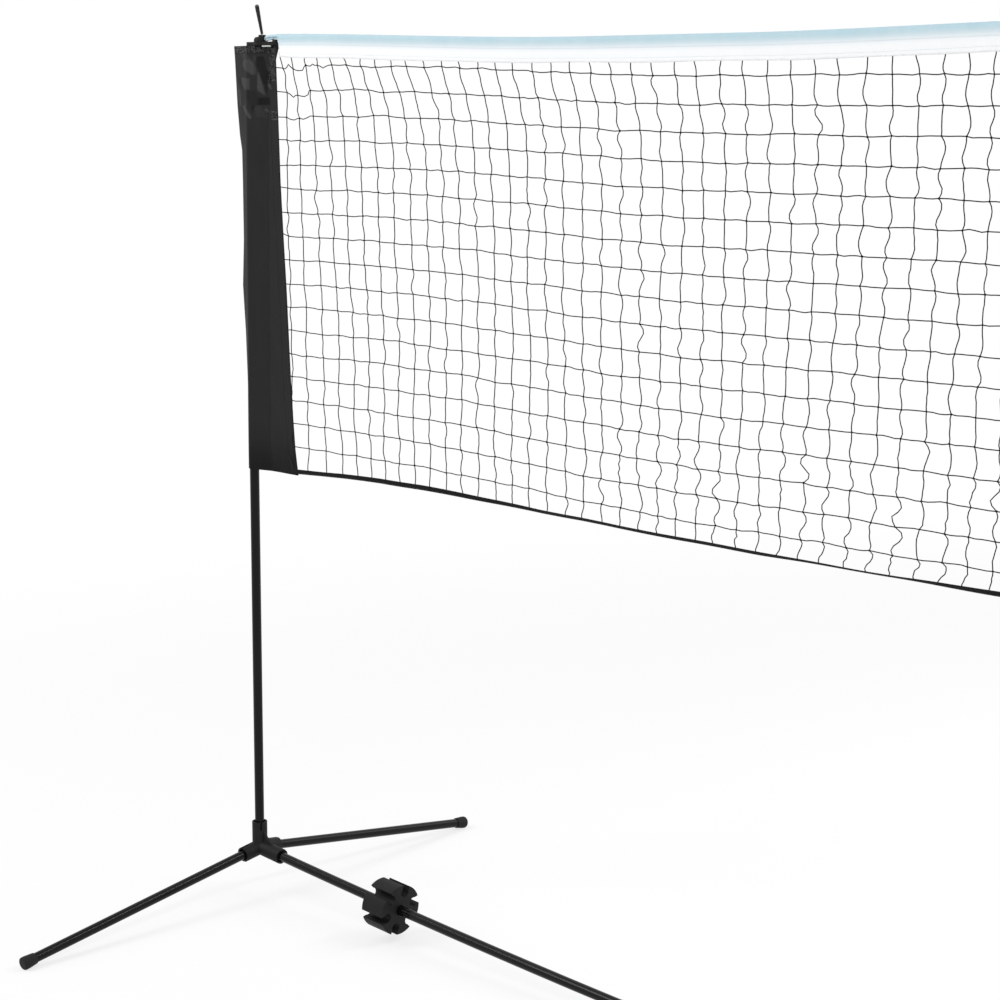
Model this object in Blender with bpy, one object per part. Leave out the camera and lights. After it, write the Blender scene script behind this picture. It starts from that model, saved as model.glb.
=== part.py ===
# Mini tennis net: two plug-together posts on four splayed legs, joined by a bar along the
# floor, carrying a net with a white head band, black side sleeves and a black bottom tape.
#
# World frame: metres, +X along the net to the right, +Y away from the viewer, +Z up.
# The origin is on the floor, midway between the posts.
# Each end is built in its own end frame: origin on the floor under the base connector's hub,
# +x towards the net. The far end is the same end turned half round.

import math

import bmesh
import bpy
import numpy as np
from mathutils import Matrix, Vector

# Distance between the two base connectors' hubs, and the gap that touching pieces keep
SPAN = 5.8
GAP = 0.0003

# Steel tube that the legs, the posts and the floor bar are cut from, and its swaged spigot
TUBE_RADIUS = 0.0085
TUBE_WALL = 0.0008
TUBE_SIDES = 16
SPIGOT_CLEARANCE = 0.0009
SPIGOT_LENGTH = 0.045
SWAGE_LENGTH = 0.008

# Base connector: one moulding with a socket for each tube
HUB_HEIGHT = 0.0875
HUB_SWELL = 0.0006
SOCKET_WALL = 0.0055
SOCKET_SIDES = 24
SOCKET_FLOOR_WALL = 0.0017
POST_SOCKET_LENGTH = 0.0495
BAR_SOCKET_LENGTH = 0.062
LEG_SOCKET_LENGTH = 0.042
TUBE_CLEARANCE = 0.0005
POST_CLEARANCE = 0.00075
MOUTH_CLEARANCE = 0.0025
MOUTH_DEPTH = 0.012
SOCKET_SLOT_WIDTH = 0.003
SOCKET_SLOT_LENGTH = 0.014
POST_SLOT_ANGLE = math.radians(-30)
BAR_SLOT_ANGLE = math.radians(-50)
WEB_THICKNESS = 0.004
WEB_UP_POST = 0.0195
WEB_ALONG_BAR = 0.028
WEB_HOLLOW = 0.0035

# Legs, measured to the start of the cap's rounded end, and their end caps
LEG_REACH = 0.535
LEG_SPLAY = math.radians(0.75)
CAP_WALL = 0.003
CAP_MOUTH_WALL = 0.0014
CAP_FILLET = 0.003
CAP_LENGTH = 0.0255
CAP_TAPER = 0.017
CAP_END_WALL = 0.005
CAP_SIDES = 24
FOOT_FLAT = 0.0005

# Floor bar: it leaves the hub sloping down, and lies on the floor from the touchdown on
BAR_SECTIONS = 6
BAR_TOUCHDOWN = 1.93
BAR_STATIONS = 6

# Storage clip: a ring of snap grooves that slides on the floor bar
CLIP_PLACE = 0.352
CLIP_LENGTH = 0.0505
CLIP_BORE_CLEARANCE = 0.00095
CLIP_CORE_WALL = 0.01355
CLIP_LIP = 0.0041
CLIP_GROOVES = 6
CLIP_TURN = math.radians(13)
GROOVE_CLEARANCE = 0.0003
GROOVE_GRIP = 0.0015

# Posts: two sections with their joint inside the sleeve. The net's pull leans both towards
# it, and the upper one more, by the joint's play.
POST_TOP = 1.547
LOWER_LEAN = math.radians(0.41)
UPPER_LEAN = math.radians(0.95)
JOINT_COVER = 0.0285

# Post cap: a plug in the post with an arm plate that reaches towards the net
PLATE_THICKNESS = 0.0062
PLATE_WIDTH = 0.015
PLATE_END = 0.0887
PLATE_CORNER = 0.007
SEAT_RIM = 0.0005
PLUG_LENGTH = 0.025
GUIDE_LENGTH = 0.0105
GUIDE_WIDTH = 0.009
GUIDE_CORNER = 0.002
GUIDE_RISE = 0.0035

# Cord lock on the plate, the tension cord and the pull on its end
LOCK_PLACE = 0.0436
LOCK_RADIUS = 0.012
LOCK_SHOULDER = 0.0085
LOCK_HEIGHT = 0.0119
KNOB_OFFSET = 0.0042
KNOB_RADIUS = 0.0066
KNOB_SLOT_WIDTH = 0.0014
KNOB_SLOT_DEPTH = 0.0022
CHANNEL_FLOOR = 0.0008
CORD_RADIUS = 0.0015
CORD_SIDES = 8
CORD_CLEARANCE = 0.0003
TAIL_LEAN = math.radians(14.5)
PULL_START = 0.0012
PULL_LENGTH = 0.0523
PULL_WALL = 0.0005
PULL_RADIUS = 0.0038
PULL_BORE_DEPTH = 0.012
PULL_SIDES = 12

# White loop tied under the plate, set in from the plate's end and its front edge
LOOP_RADIUS = 0.0011
LOOP_FROM_END = 0.0223
LOOP_FROM_FRONT = 0.0011
LOOP_HALF_LENGTH = 0.0105
LOOP_HALF_WIDTH = 0.0026
LOOP_STEPS = 24

# Head band: fabric folded over the tension cord and over the net's top edge
BAND_WALL = 0.0020
BAND_HALF_THICKNESS = 0.0023
BAND_RISE = 0.0128
BAND_SAG = 0.0167
BAND_SAG_LENGTH = 0.8
BAND_LIFT = 0.0087
BAND_LIFT_START = 1.1
BAND_LIFT_END = 1.7
BAND_DEPTH = 0.0385
BAND_EDGE_SAG = 0.010
BAND_EDGE_SAG_LENGTH = 0.5
BAND_EDGE_DIP = 0.0075
BAND_EDGE_DIP_START = 0.2
BAND_EDGE_DIP_END = 0.9
BAND_EDGE_RISE_START = 1.15
BAND_EDGE_RISE_END = 1.5
BAND_SETBACK = 0.003
BAND_GATHER_DIP = 0.0017
BAND_STATIONS = 12
BAND_FULL_PAST_PLATE = 0.0113
NET_SLOT = 0.0022

# Netting, with each gap standing for three by three meshes, and the tape along its foot
NET_COLUMNS = 48
NET_ROWS = 6
NET_CORD_WIDTH = 0.0045
NET_THICKNESS = 0.0016
NET_TUCK = 0.014
NET_CORNER = 0.0045
NET_LEAN_LENGTH = 1.3
TAPE_OFFSET = 0.0011
TAPE_LIFT = 0.0145
TAPE_LIFT_START = -0.1
TAPE_LIFT_END = 0.42
TAPE_SAG = 0.0118
TAPE_SAG_START = 0.4
TAPE_SAG_END = 1.1
TAPE_HEIGHT = 0.0085
TAPE_THICKNESS = 0.0032
TAPE_FOLD = 0.0025

# Side sleeve: a fabric pocket round the post, narrowing to a flat edge sewn to the net
SLEEVE_LENGTH = 0.7457
SLEEVE_CLEARANCE = 0.0008
SLEEVE_WALL = 0.0010
SLEEVE_THICKNESS = 0.0020
SLEEVE_SEAM = 0.024
SLEEVE_STATIONS = 22
FOLD_DEPTH = 0.0022
FOLD_PITCH = 0.105
FOLD_START = 0.012
FOLD_FULL = 0.035
FOLD_CALM_START = 0.12
FOLD_CALM_END = 0.34
FOLD_CALM = 0.65
# The sleeve's side edges: height above its lower edge, and the left and the right edge's x
SLEEVE_EDGES = [
    (0.000, -0.0098, 0.1240),
    (0.044, -0.0078, 0.1170),
    (0.113, -0.0064, 0.1115),
    (0.167, -0.0080, 0.1080),
    (0.248, -0.0105, 0.1040),
    (0.328, -0.0158, 0.1002),
    (0.409, -0.0110, 0.0950),
    (0.513, -0.0105, 0.0890),
    (0.566, -0.0110, 0.0875),
    (0.592, -0.0160, 0.0868),
    (0.644, -0.0212, 0.0850),
    (0.722, -0.0254, 0.0823),
    (0.7457, -0.0272, 0.0915),
]

# Colour, roughness and metallic value of each finish
FINISHES = {
    "tube_paint": ((0.016, 0.016, 0.018), 0.32, 0.0),
    "moulded_black": ((0.022, 0.021, 0.022), 0.62, 0.0),
    "cap_rubber": ((0.018, 0.018, 0.019), 0.75, 0.0),
    "pull_plastic": ((0.020, 0.020, 0.021), 0.5, 0.0),
    "cord_white": ((0.72, 0.76, 0.74), 0.8, 0.0),
    "band_white": ((0.86, 0.88, 0.89), 0.75, 0.0),
    "net_black": ((0.02, 0.02, 0.022), 0.85, 0.0),
    "tape_black": ((0.018, 0.018, 0.019), 0.8, 0.0),
    "sleeve_black": ((0.032, 0.032, 0.034), 0.5, 0.0),
}

HALF_SPAN = SPAN / 2
TUBE_BORE = TUBE_RADIUS - TUBE_WALL
SPIGOT_RADIUS = TUBE_BORE - SPIGOT_CLEARANCE
SOCKET_RADIUS = TUBE_RADIUS + SOCKET_WALL
SOCKET_FLOOR = SOCKET_RADIUS + SOCKET_FLOOR_WALL
TUBE_START = SOCKET_FLOOR + GAP
CAP_RADIUS = TUBE_RADIUS + CAP_WALL
CAP_START = LEG_REACH + CAP_FILLET - CAP_LENGTH
BAR_REST = TUBE_RADIUS * math.cos(math.pi / TUBE_SIDES)
CLIP_BORE = TUBE_RADIUS + CLIP_BORE_CLEARANCE
GROOVE_RADIUS = TUBE_RADIUS + GROOVE_CLEARANCE
GROOVE_CENTRE = CLIP_BORE + CLIP_CORE_WALL + GROOVE_RADIUS
CLIP_RADIUS = GROOVE_CENTRE + GROOVE_RADIUS + CLIP_LIP
PLATE_TOP = POST_TOP + PLATE_THICKNESS
SLEEVE_TOP = POST_TOP - 2 * GAP
SLEEVE_BOTTOM = SLEEVE_TOP - SLEEVE_LENGTH
SLEEVE_OUTER = TUBE_RADIUS + SLEEVE_CLEARANCE + SLEEVE_WALL
POST_JOINT = SLEEVE_BOTTOM + JOINT_COVER
BAND_START = LOCK_PLACE + LOCK_RADIUS + BAND_SETBACK
BAND_ROLL = CORD_RADIUS + CORD_CLEARANCE + BAND_WALL
BAND_FULL = PLATE_END + BAND_FULL_PAST_PLATE
# The gathered end of the band: distance from the hub, and the roll's radius and the drop to
# the edge, both as shares of the full roll
BAND_GATHERS = [
    (BAND_START, 0.72, 0.60),
    (BAND_START + 0.0135, 0.85, 0.70),
    (PLATE_END - 0.001, 0.94, 0.84),
    (PLATE_END + 0.0033, 0.96, 0.88),
    (PLATE_END + 0.0055, 0.98, 6.5),
]
HUB = Vector((0, 0, HUB_HEIGHT))
X_AXIS = Vector((1, 0, 0))
Y_AXIS = Vector((0, 1, 0))
Z_AXIS = Vector((0, 0, 1))


def smooth_step(value, start, end):
    # 0 before start, 1 after end, and a smooth rise between
    share = min(1, max(0, (value - start) / (end - start)))
    return share * share * (3 - 2 * share)


# Lines that several pieces share, in the end frame


def leg_slope():
    # The slope that brings the cap's rounded edge to the floor, with the foot's flat cut off
    inner = CAP_RADIUS - CAP_FILLET
    drop = HUB_HEIGHT - CAP_FILLET + FOOT_FLAT
    return math.asin(drop / math.hypot(LEG_REACH, inner)) - math.atan2(inner, LEG_REACH)


def bar_height(reach):
    # Height of the bar's axis at this distance from the hub
    left = max(0, 1 - reach / BAR_TOUCHDOWN)
    return BAR_REST + (HUB_HEIGHT - BAR_REST) * left * left


def bar_fall(reach):
    # How steeply the bar's axis falls there
    left = max(0, 1 - reach / BAR_TOUCHDOWN)
    return 2 * (HUB_HEIGHT - BAR_REST) * left / BAR_TOUCHDOWN


def leaning(lean):
    return Vector((math.sin(lean), 0, math.cos(lean)))


def post_x(height):
    # The lower post leans from the hub, and the upper one from their joint
    lower = min(height, POST_JOINT) - HUB_HEIGHT
    upper = max(0, height - POST_JOINT)
    return lower * math.tan(LOWER_LEAN) + upper * math.tan(UPPER_LEAN)


def along_upper_post(height):
    # Distance from the posts' joint to the upper post's axis point at this height
    return (height - POST_JOINT) / math.cos(UPPER_LEAN)


def upper_post_matrix():
    return aim(Vector((post_x(POST_JOINT), 0, POST_JOINT)), leaning(UPPER_LEAN))


def band_top(reach):
    # The band's top sags from the post, and lifts again towards the net's middle
    sag = BAND_SAG * smooth_step(reach, 0, BAND_SAG_LENGTH)
    lift = BAND_LIFT * smooth_step(reach, BAND_LIFT_START, BAND_LIFT_END)
    return PLATE_TOP + BAND_RISE - sag + lift


def band_edge(reach):
    # The edge sags further than the top, most of all a third of the way to the net's middle
    sag = BAND_EDGE_SAG * smooth_step(reach, 0, BAND_EDGE_SAG_LENGTH)
    dip = smooth_step(reach, BAND_EDGE_DIP_START, BAND_EDGE_DIP_END)
    rise = smooth_step(reach, BAND_EDGE_RISE_START, BAND_EDGE_RISE_END)
    return PLATE_TOP + BAND_RISE - BAND_DEPTH - sag - BAND_EDGE_DIP * (dip - rise)


def cord_height(reach):
    # Height of the cord's axis inside the band, which dips in the gathered end
    gathered = PLATE_END - BAND_START
    left = max(0, 1 - (reach - BAND_START) / gathered)
    return band_top(reach) - BAND_ROLL - BAND_GATHER_DIP * left * left


def tape_height(reach):
    lift = TAPE_LIFT * smooth_step(reach, TAPE_LIFT_START, TAPE_LIFT_END)
    sag = TAPE_SAG * smooth_step(reach, TAPE_SAG_START, TAPE_SAG_END)
    return SLEEVE_BOTTOM + TAPE_OFFSET + lift - sag


def sleeve_left(height):
    heights, left, _ = zip(*SLEEVE_EDGES)
    return float(np.interp(height - SLEEVE_BOTTOM, heights, left))


def sleeve_right(height):
    heights, _, right = zip(*SLEEVE_EDGES)
    return float(np.interp(height - SLEEVE_BOTTOM, heights, right))


def net_start():
    # Where the net's foot and the tape begin, beside the sleeve's lower corner
    return sleeve_right(SLEEVE_BOTTOM) + GAP


# Tools that make and join meshes


def clear_scene():
    for obj in list(bpy.data.objects):
        bpy.data.objects.remove(obj)


def make_materials():
    for name, (colour, roughness, metallic) in FINISHES.items():
        finish = bpy.data.materials.new(name)
        finish.use_nodes = True
        shader = finish.node_tree.nodes["Principled BSDF"]
        shader.inputs["Base Color"].default_value = (*colour, 1)
        shader.inputs["Roughness"].default_value = roughness
        shader.inputs["Metallic"].default_value = metallic
        finish.diffuse_color = (*colour, 1)


def place(obj, end=None, matrix=None):
    bpy.context.scene.collection.objects.link(obj)
    obj.parent = end
    if matrix is not None:
        obj.matrix_local = matrix
    return obj


def mesh_piece(name, shape, finish=None, end=None, matrix=None):
    # Turns a bmesh into an object with its faces pointing out
    bmesh.ops.recalc_face_normals(shape, faces=shape.faces)
    mesh = bpy.data.meshes.new(name)
    shape.to_mesh(mesh)
    shape.free()
    if finish:
        mesh.materials.append(bpy.data.materials[finish])
    mesh.shade_smooth()
    mesh.set_sharp_from_angle(angle=math.radians(35))
    return place(bpy.data.objects.new(name, mesh), end, matrix)


def bridge(shape, ring, following):
    # Faces between two rings of as many corners, or between a ring and a single tip
    if len(ring) == 1:
        ring, following = following, ring
    count = len(ring)
    for i in range(count):
        j = (i + 1) % count
        if len(following) == 1:
            shape.faces.new((ring[i], ring[j], following[0]))
        else:
            shape.faces.new((ring[i], ring[j], following[j], following[i]))


def loft(name, rings, finish=None, end=None, matrix=None, closed=False):
    # A skin over rings of points; a closed run joins its last ring to its first
    shape = bmesh.new()
    made = [[shape.verts.new(point) for point in ring] for ring in rings]
    for ring, following in zip(made, made[1:]):
        bridge(shape, ring, following)
    if closed:
        bridge(shape, made[-1], made[0])
    else:
        for last in (made[0], made[-1]):
            if len(last) > 1:
                shape.faces.new(last)
    return mesh_piece(name, shape, finish, end, matrix)


def circle(centre, across, up, radius, sides, turn=0.0):
    # Points round a centre, in the plane of the unit vectors across and up
    angles = [turn + 2 * math.pi * i / sides for i in range(sides)]
    return [centre + radius * (math.cos(a) * across + math.sin(a) * up) for a in angles]


def turned(name, outline, sides, finish=None, end=None, matrix=None):
    # Turns an outline of (radius, height) points round local Z. An outline that starts and
    # ends on the axis is solid, and any other is a closed section with a hole through it.
    rings = []
    for radius, z in outline:
        centre = Vector((0, 0, z))
        ring = [centre] if radius == 0 else circle(centre, X_AXIS, Y_AXIS, radius, sides)
        rings.append(ring)
    return loft(name, rings, finish, end, matrix, closed=outline[0][0] > 0)


def cylinder(name, radius, low, high, sides, end=None, matrix=None):
    rings = [circle(Vector((0, 0, z)), X_AXIS, Y_AXIS, radius, sides) for z in (low, high)]
    return loft(name, rings, None, end, matrix)


def box(name, low, high, end=None, matrix=None):
    shape = bmesh.new()
    size = [b - a for a, b in zip(low, high)]
    middle = [(a + b) / 2 for a, b in zip(low, high)]
    bmesh.ops.create_cube(shape, size=1)
    bmesh.ops.transform(shape, matrix=Matrix.Diagonal((*size, 1)), verts=shape.verts)
    bmesh.ops.translate(shape, vec=middle, verts=shape.verts)
    return mesh_piece(name, shape, None, end, matrix)


def plate(name, outline, low, high, finish=None, end=None, matrix=None):
    # A flat outline in local x and y, given a thickness along local z
    rings = [[Vector((x, y, z)) for x, y in outline] for z in (low, high)]
    return loft(name, rings, finish, end, matrix)


def combine(target, operation, tools):
    # Keeps each tool as a hidden helper of a live Boolean
    for tool in tools:
        tool.hide_render = True
        tool.display_type = "WIRE"
        modifier = target.modifiers.new(f"{operation.lower()} {tool.name}", "BOOLEAN")
        modifier.operation = operation
        modifier.object = tool
        modifier.solver = "EXACT"


def aim(origin, direction, across=Y_AXIS):
    # A matrix that puts local Z along direction and local Y along across, at origin
    z = direction.normalized()
    y = (across - across.dot(z) * z).normalized()
    x = y.cross(z)
    rotation = Matrix((x, y, z)).transposed().to_4x4()
    return Matrix.Translation(origin) @ rotation


# Tubes


def tube_outline(low, high, spigot, stations):
    # Round the section of a tube: out along the skin, over the spigot, back along the bore
    steps = [low + (high - low) * i / stations for i in range(stations + 1)]
    outside = [(TUBE_RADIUS, s) for s in steps]
    if not spigot:
        return outside + [(TUBE_BORE, s) for s in reversed(steps)]
    spigot_bore = SPIGOT_RADIUS - TUBE_WALL
    neck = [
        (SPIGOT_RADIUS, high),
        (SPIGOT_RADIUS, high + SPIGOT_LENGTH),
        (spigot_bore, high + SPIGOT_LENGTH),
        (spigot_bore, high - SWAGE_LENGTH / 2),
        (TUBE_BORE, high - SWAGE_LENGTH),
    ]
    inside = [s for s in steps if s < high - 2 * SWAGE_LENGTH]
    return outside + neck + [(TUBE_BORE, s) for s in reversed(inside)]


def straight_tube(name, low, high, spigot, end, matrix):
    turned(name, tube_outline(low, high, spigot, 1), TUBE_SIDES, "tube_paint", end, matrix)


# Base connector


def socket_matrices():
    drop = -math.tan(leg_slope())
    splay = math.tan(LEG_SPLAY)
    return {
        "post": aim(HUB, leaning(LOWER_LEAN)),
        "bar": aim(HUB, Vector((1, 0, -bar_fall(0)))),
        "front": aim(HUB, Vector((splay, -1, drop)), X_AXIS),
        "back": aim(HUB, Vector((splay, 1, drop)), X_AXIS),
    }


def web_outline():
    # The web's corner lies inside the hub, and its free edge is a shallow hollow arc
    rise = SOCKET_RADIUS + WEB_UP_POST
    reach = SOCKET_RADIUS + WEB_ALONG_BAR
    sink = reach * bar_fall(0)
    buried = SOCKET_RADIUS - WEB_THICKNESS / 4
    high = Vector((buried, rise))
    low = Vector((reach, buried - sink))
    chord = low - high
    inward = Vector((chord.y, -chord.x)).normalized()
    steps = 6
    edge = []
    for i in range(steps + 1):
        share = i / steps
        point = high.lerp(low, share) + inward * WEB_HOLLOW * 4 * share * (1 - share)
        edge.append(tuple(point))
    return [(0, 0), (0, rise), *edge, (reach, -sink)]


def socket_cut(name, bore, length, end, matrix):
    # A blind bore with a wider mouth
    step = length - MOUTH_DEPTH
    mouth = TUBE_RADIUS + MOUTH_CLEARANCE
    outline = [
        (0, SOCKET_FLOOR),
        (bore, SOCKET_FLOOR),
        (bore, step),
        (mouth, step + mouth - bore),
        (mouth, length + SOCKET_RADIUS),
        (0, length + SOCKET_RADIUS),
    ]
    return turned(name, outline, SOCKET_SIDES, end=end, matrix=matrix)


def base_connector(side, end):
    # Length, bore clearance and slot direction of each socket
    sockets = {
        "post": (POST_SOCKET_LENGTH, POST_CLEARANCE, POST_SLOT_ANGLE),
        "bar": (BAR_SOCKET_LENGTH, TUBE_CLEARANCE, BAR_SLOT_ANGLE),
        "front": (LEG_SOCKET_LENGTH, TUBE_CLEARANCE, 0),
        "back": (LEG_SOCKET_LENGTH, TUBE_CLEARANCE, 0),
    }
    joined = []
    cuts = []
    for socket, matrix in socket_matrices().items():
        label = f"{side} {socket}"
        length, clearance, slot_angle = sockets[socket]
        barrel = cylinder(
            f"{label} socket", SOCKET_RADIUS, 0, length, SOCKET_SIDES, end, matrix
        )
        joined.append(barrel)
        bore = TUBE_RADIUS + clearance
        cuts.append(socket_cut(f"{label} bore", bore, length, end, matrix))
        slot = box(
            f"{label} slot",
            (-2 * SOCKET_RADIUS, -SOCKET_SLOT_WIDTH / 2, length - SOCKET_SLOT_LENGTH),
            (2 * SOCKET_RADIUS, SOCKET_SLOT_WIDTH / 2, length + SOCKET_RADIUS),
            end,
            matrix @ Matrix.Rotation(slot_angle, 4, "Z"),
        )
        cuts.append(slot)
    shape = bmesh.new()
    bmesh.ops.create_icosphere(shape, subdivisions=2, radius=SOCKET_RADIUS + HUB_SWELL)
    hub_place = Matrix.Translation(HUB)
    body = mesh_piece(f"{side}_base_connector", shape, "moulded_black", end, hub_place)
    upright = hub_place @ Matrix.Rotation(math.pi / 2, 4, "X")
    half = WEB_THICKNESS / 2
    joined.append(plate(f"{side} web", web_outline(), -half, half, end=end, matrix=upright))
    combine(body, "UNION", joined)
    combine(body, "DIFFERENCE", cuts)


# Legs


def cap_outline():
    # Round the cap's section: the blind bore, the tapered skin and the rounded end
    inner = CAP_RADIUS - CAP_FILLET
    centre = CAP_LENGTH - CAP_FILLET
    steps = 6
    rounded = []
    for i in range(steps + 1):
        angle = math.pi / 2 * i / steps
        rounded.append((inner + CAP_FILLET * math.cos(angle), centre + CAP_FILLET * math.sin(angle)))
    bore = TUBE_RADIUS + GAP
    return [
        (0, CAP_LENGTH - CAP_END_WALL),
        (bore, CAP_LENGTH - CAP_END_WALL),
        (bore, 0),
        (TUBE_RADIUS + CAP_MOUTH_WALL, 0),
        (CAP_RADIUS, CAP_TAPER),
        *rounded,
        (0, CAP_LENGTH),
    ]


def leg(name, matrix, end, floor_cutter):
    tube_end = CAP_START + CAP_LENGTH - CAP_END_WALL - GAP
    straight_tube(name, TUBE_START, tube_end, False, end, matrix)
    at_cap = matrix @ Matrix.Translation((0, 0, CAP_START))
    cap = turned(f"{name}_cap", cap_outline(), CAP_SIDES, "cap_rubber", end, at_cap)
    combine(cap, "DIFFERENCE", [floor_cutter])


# Floor bar, in the world frame


def bar_ring(x, radius):
    reach = HALF_SPAN - abs(x)
    slope = math.copysign(bar_fall(reach), x)
    up = Vector((-slope, 0, 1)).normalized()
    centre = Vector((x, 0, bar_height(reach)))
    return circle(centre, Y_AXIS, up, radius, TUBE_SIDES, math.pi / TUBE_SIDES)


def floor_bar():
    first = TUBE_START - HALF_SPAN
    length = -2 * first / BAR_SECTIONS
    for i in range(BAR_SECTIONS):
        last = i == BAR_SECTIONS - 1
        low = first + length * i
        high = low + length - (0 if last else GAP)
        outline = tube_outline(low, high, not last, BAR_STATIONS)
        rings = [bar_ring(x, radius) for radius, x in outline]
        loft(f"bar_section_{i + 1}", rings, "tube_paint", closed=True)


# Storage clip


def clip_outline():
    # For each groove: a lip, the round groove, the other lip, then the rim to the next lip
    half = GROOVE_RADIUS - GROOVE_GRIP
    rim = math.sqrt(CLIP_RADIUS**2 - half**2)
    opening = math.asin(half / GROOVE_RADIUS)
    lip = math.asin(half / CLIP_RADIUS)
    pitch = 2 * math.pi / CLIP_GROOVES
    groove_steps, rim_steps = 12, 5
    local = [(rim, -half)]
    for i in range(groove_steps + 1):
        angle = -opening - 2 * (math.pi - opening) * i / groove_steps
        x = GROOVE_CENTRE + GROOVE_RADIUS * math.cos(angle)
        local.append((x, GROOVE_RADIUS * math.sin(angle)))
    local.append((rim, half))
    for i in range(1, rim_steps):
        angle = lip + (pitch - 2 * lip) * i / rim_steps
        local.append((CLIP_RADIUS * math.cos(angle), CLIP_RADIUS * math.sin(angle)))
    outline = []
    for k in range(CLIP_GROOVES):
        turn = Matrix.Rotation(CLIP_TURN + pitch * k, 2)
        outline += [tuple(turn @ Vector(point)) for point in local]
    return outline


def storage_clip(side, end):
    # Local z runs back along the bar, local x is the end frame's y, and local y is up
    centre = Vector((CLIP_PLACE, 0, bar_height(CLIP_PLACE)))
    along = Vector((1, 0, -bar_fall(CLIP_PLACE))).normalized()
    up = along.cross(Y_AXIS)
    rotation = Matrix((Y_AXIS, up, Y_AXIS.cross(up))).transposed().to_4x4()
    matrix = Matrix.Translation(centre) @ rotation
    half = CLIP_LENGTH / 2
    name = f"{side}_storage_clip"
    clip = plate(name, clip_outline(), -half, half, "moulded_black", end, matrix)
    cutter = cylinder(
        f"{side} clip bore", CLIP_BORE, -CLIP_LENGTH, CLIP_LENGTH, SOCKET_SIDES, end, matrix
    )
    combine(clip, "DIFFERENCE", [cutter])


# Posts, caps and cord locks


def post(side, end):
    lower = socket_matrices()["post"]
    joint = (POST_JOINT - HUB_HEIGHT) / math.cos(LOWER_LEAN)
    straight_tube(f"{side}_lower_post", TUBE_START, joint, True, end, lower)
    # The joint's gap also takes up the tilt between the two ends
    top = along_upper_post(POST_TOP) - 2 * GAP
    straight_tube(f"{side}_upper_post", 1.3 * GAP, top, False, end, upper_post_matrix())


def rounded_rectangle(low, high, radius):
    corners = [
        (high[0] - radius, high[1] - radius, 0),
        (low[0] + radius, high[1] - radius, 90),
        (low[0] + radius, low[1] + radius, 180),
        (high[0] - radius, low[1] + radius, 270),
    ]
    steps = 4
    outline = []
    for x, y, turn in corners:
        for i in range(steps + 1):
            angle = math.radians(turn + 90 * i / steps)
            outline.append((x + radius * math.cos(angle), y + radius * math.sin(angle)))
    return outline


def post_cap(side, end):
    half = PLATE_WIDTH / 2
    start = post_x(POST_TOP) - half
    outline = rounded_rectangle((start, -half), (PLATE_END, half), PLATE_CORNER)
    cap = plate(f"{side}_post_cap", outline, POST_TOP, PLATE_TOP, "moulded_black", end)
    inside_plate = POST_TOP + PLATE_THICKNESS / 2
    plug = cylinder(
        f"{side} cap plug",
        TUBE_BORE - GAP,
        along_upper_post(POST_TOP) - PLUG_LENGTH,
        along_upper_post(inside_plate),
        TUBE_SIDES,
        end,
        upper_post_matrix(),
    )
    at_lock = Matrix.Translation((LOCK_PLACE, 0, 0))
    seat_radius = LOCK_RADIUS + SEAT_RIM
    seat = cylinder(
        f"{side} lock seat", seat_radius, POST_TOP, PLATE_TOP, SOCKET_SIDES, end, at_lock
    )
    half = GUIDE_WIDTH / 2
    outline = rounded_rectangle(
        (PLATE_END - GUIDE_LENGTH, -half), (PLATE_END - GAP, half), GUIDE_CORNER
    )
    top = PLATE_TOP + GUIDE_RISE
    guide = plate(f"{side} cord guide", outline, inside_plate, top, end=end)
    combine(cap, "UNION", [plug, seat, guide])


def tail_base():
    # Where the cord comes out of the lock's knob
    return Vector((LOCK_PLACE + KNOB_OFFSET, 0, PLATE_TOP + LOCK_HEIGHT))


def end_route():
    # The cord's axis at one end, by hand: down the tail, round inside the lock, into the band
    base = tail_base()
    axis = leaning(-TAIL_LEAN)
    tip = PULL_START + PULL_BORE_DEPTH - 2 * GAP
    deep = PLATE_TOP + CHANNEL_FLOOR + CORD_CLEARANCE + CORD_RADIUS
    band = Vector((BAND_START, 0, cord_height(BAND_START)))
    return [
        base + axis * tip,
        base + axis * tip / 2,
        base,
        Vector((base.x + 0.0014, 0, base.z - 0.0045)),
        Vector((base.x + 0.0038, 0, deep + 0.0017)),
        Vector((base.x + 0.0068, 0, deep + 0.0015)),
        band,
        Vector((BAND_START + 0.006, 0, cord_height(BAND_START + 0.006))),
    ]


def smooth_route(points, steps):
    # A Catmull-Rom curve through the route's own points
    padded = [2 * points[0] - points[1], *points, 2 * points[-1] - points[-2]]
    route = []
    for a, b, c, d in zip(padded, padded[1:], padded[2:], padded[3:]):
        for i in range(steps):
            t = i / steps
            cubic = (2 * b) + (c - a) * t + (2 * a - 5 * b + 4 * c - d) * t**2
            route.append(0.5 * (cubic + (3 * b - 3 * c + d - a) * t**3))
    return [*route, points[-1]]


def round_cord(name, route, radius, finish=None, end=None, side_axis=Y_AXIS, closed=False):
    # Rings square to a route that lies in a plane, whose normal is side_axis
    rings = []
    for i, point in enumerate(route):
        before = route[i - 1] if closed or i else route[i]
        after = route[(i + 1) % len(route)] if closed or i < len(route) - 1 else route[i]
        up = (after - before).cross(side_axis).normalized()
        rings.append(circle(point, side_axis, up, radius, CORD_SIDES))
    return loft(name, rings, finish, end, closed=closed)


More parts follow.
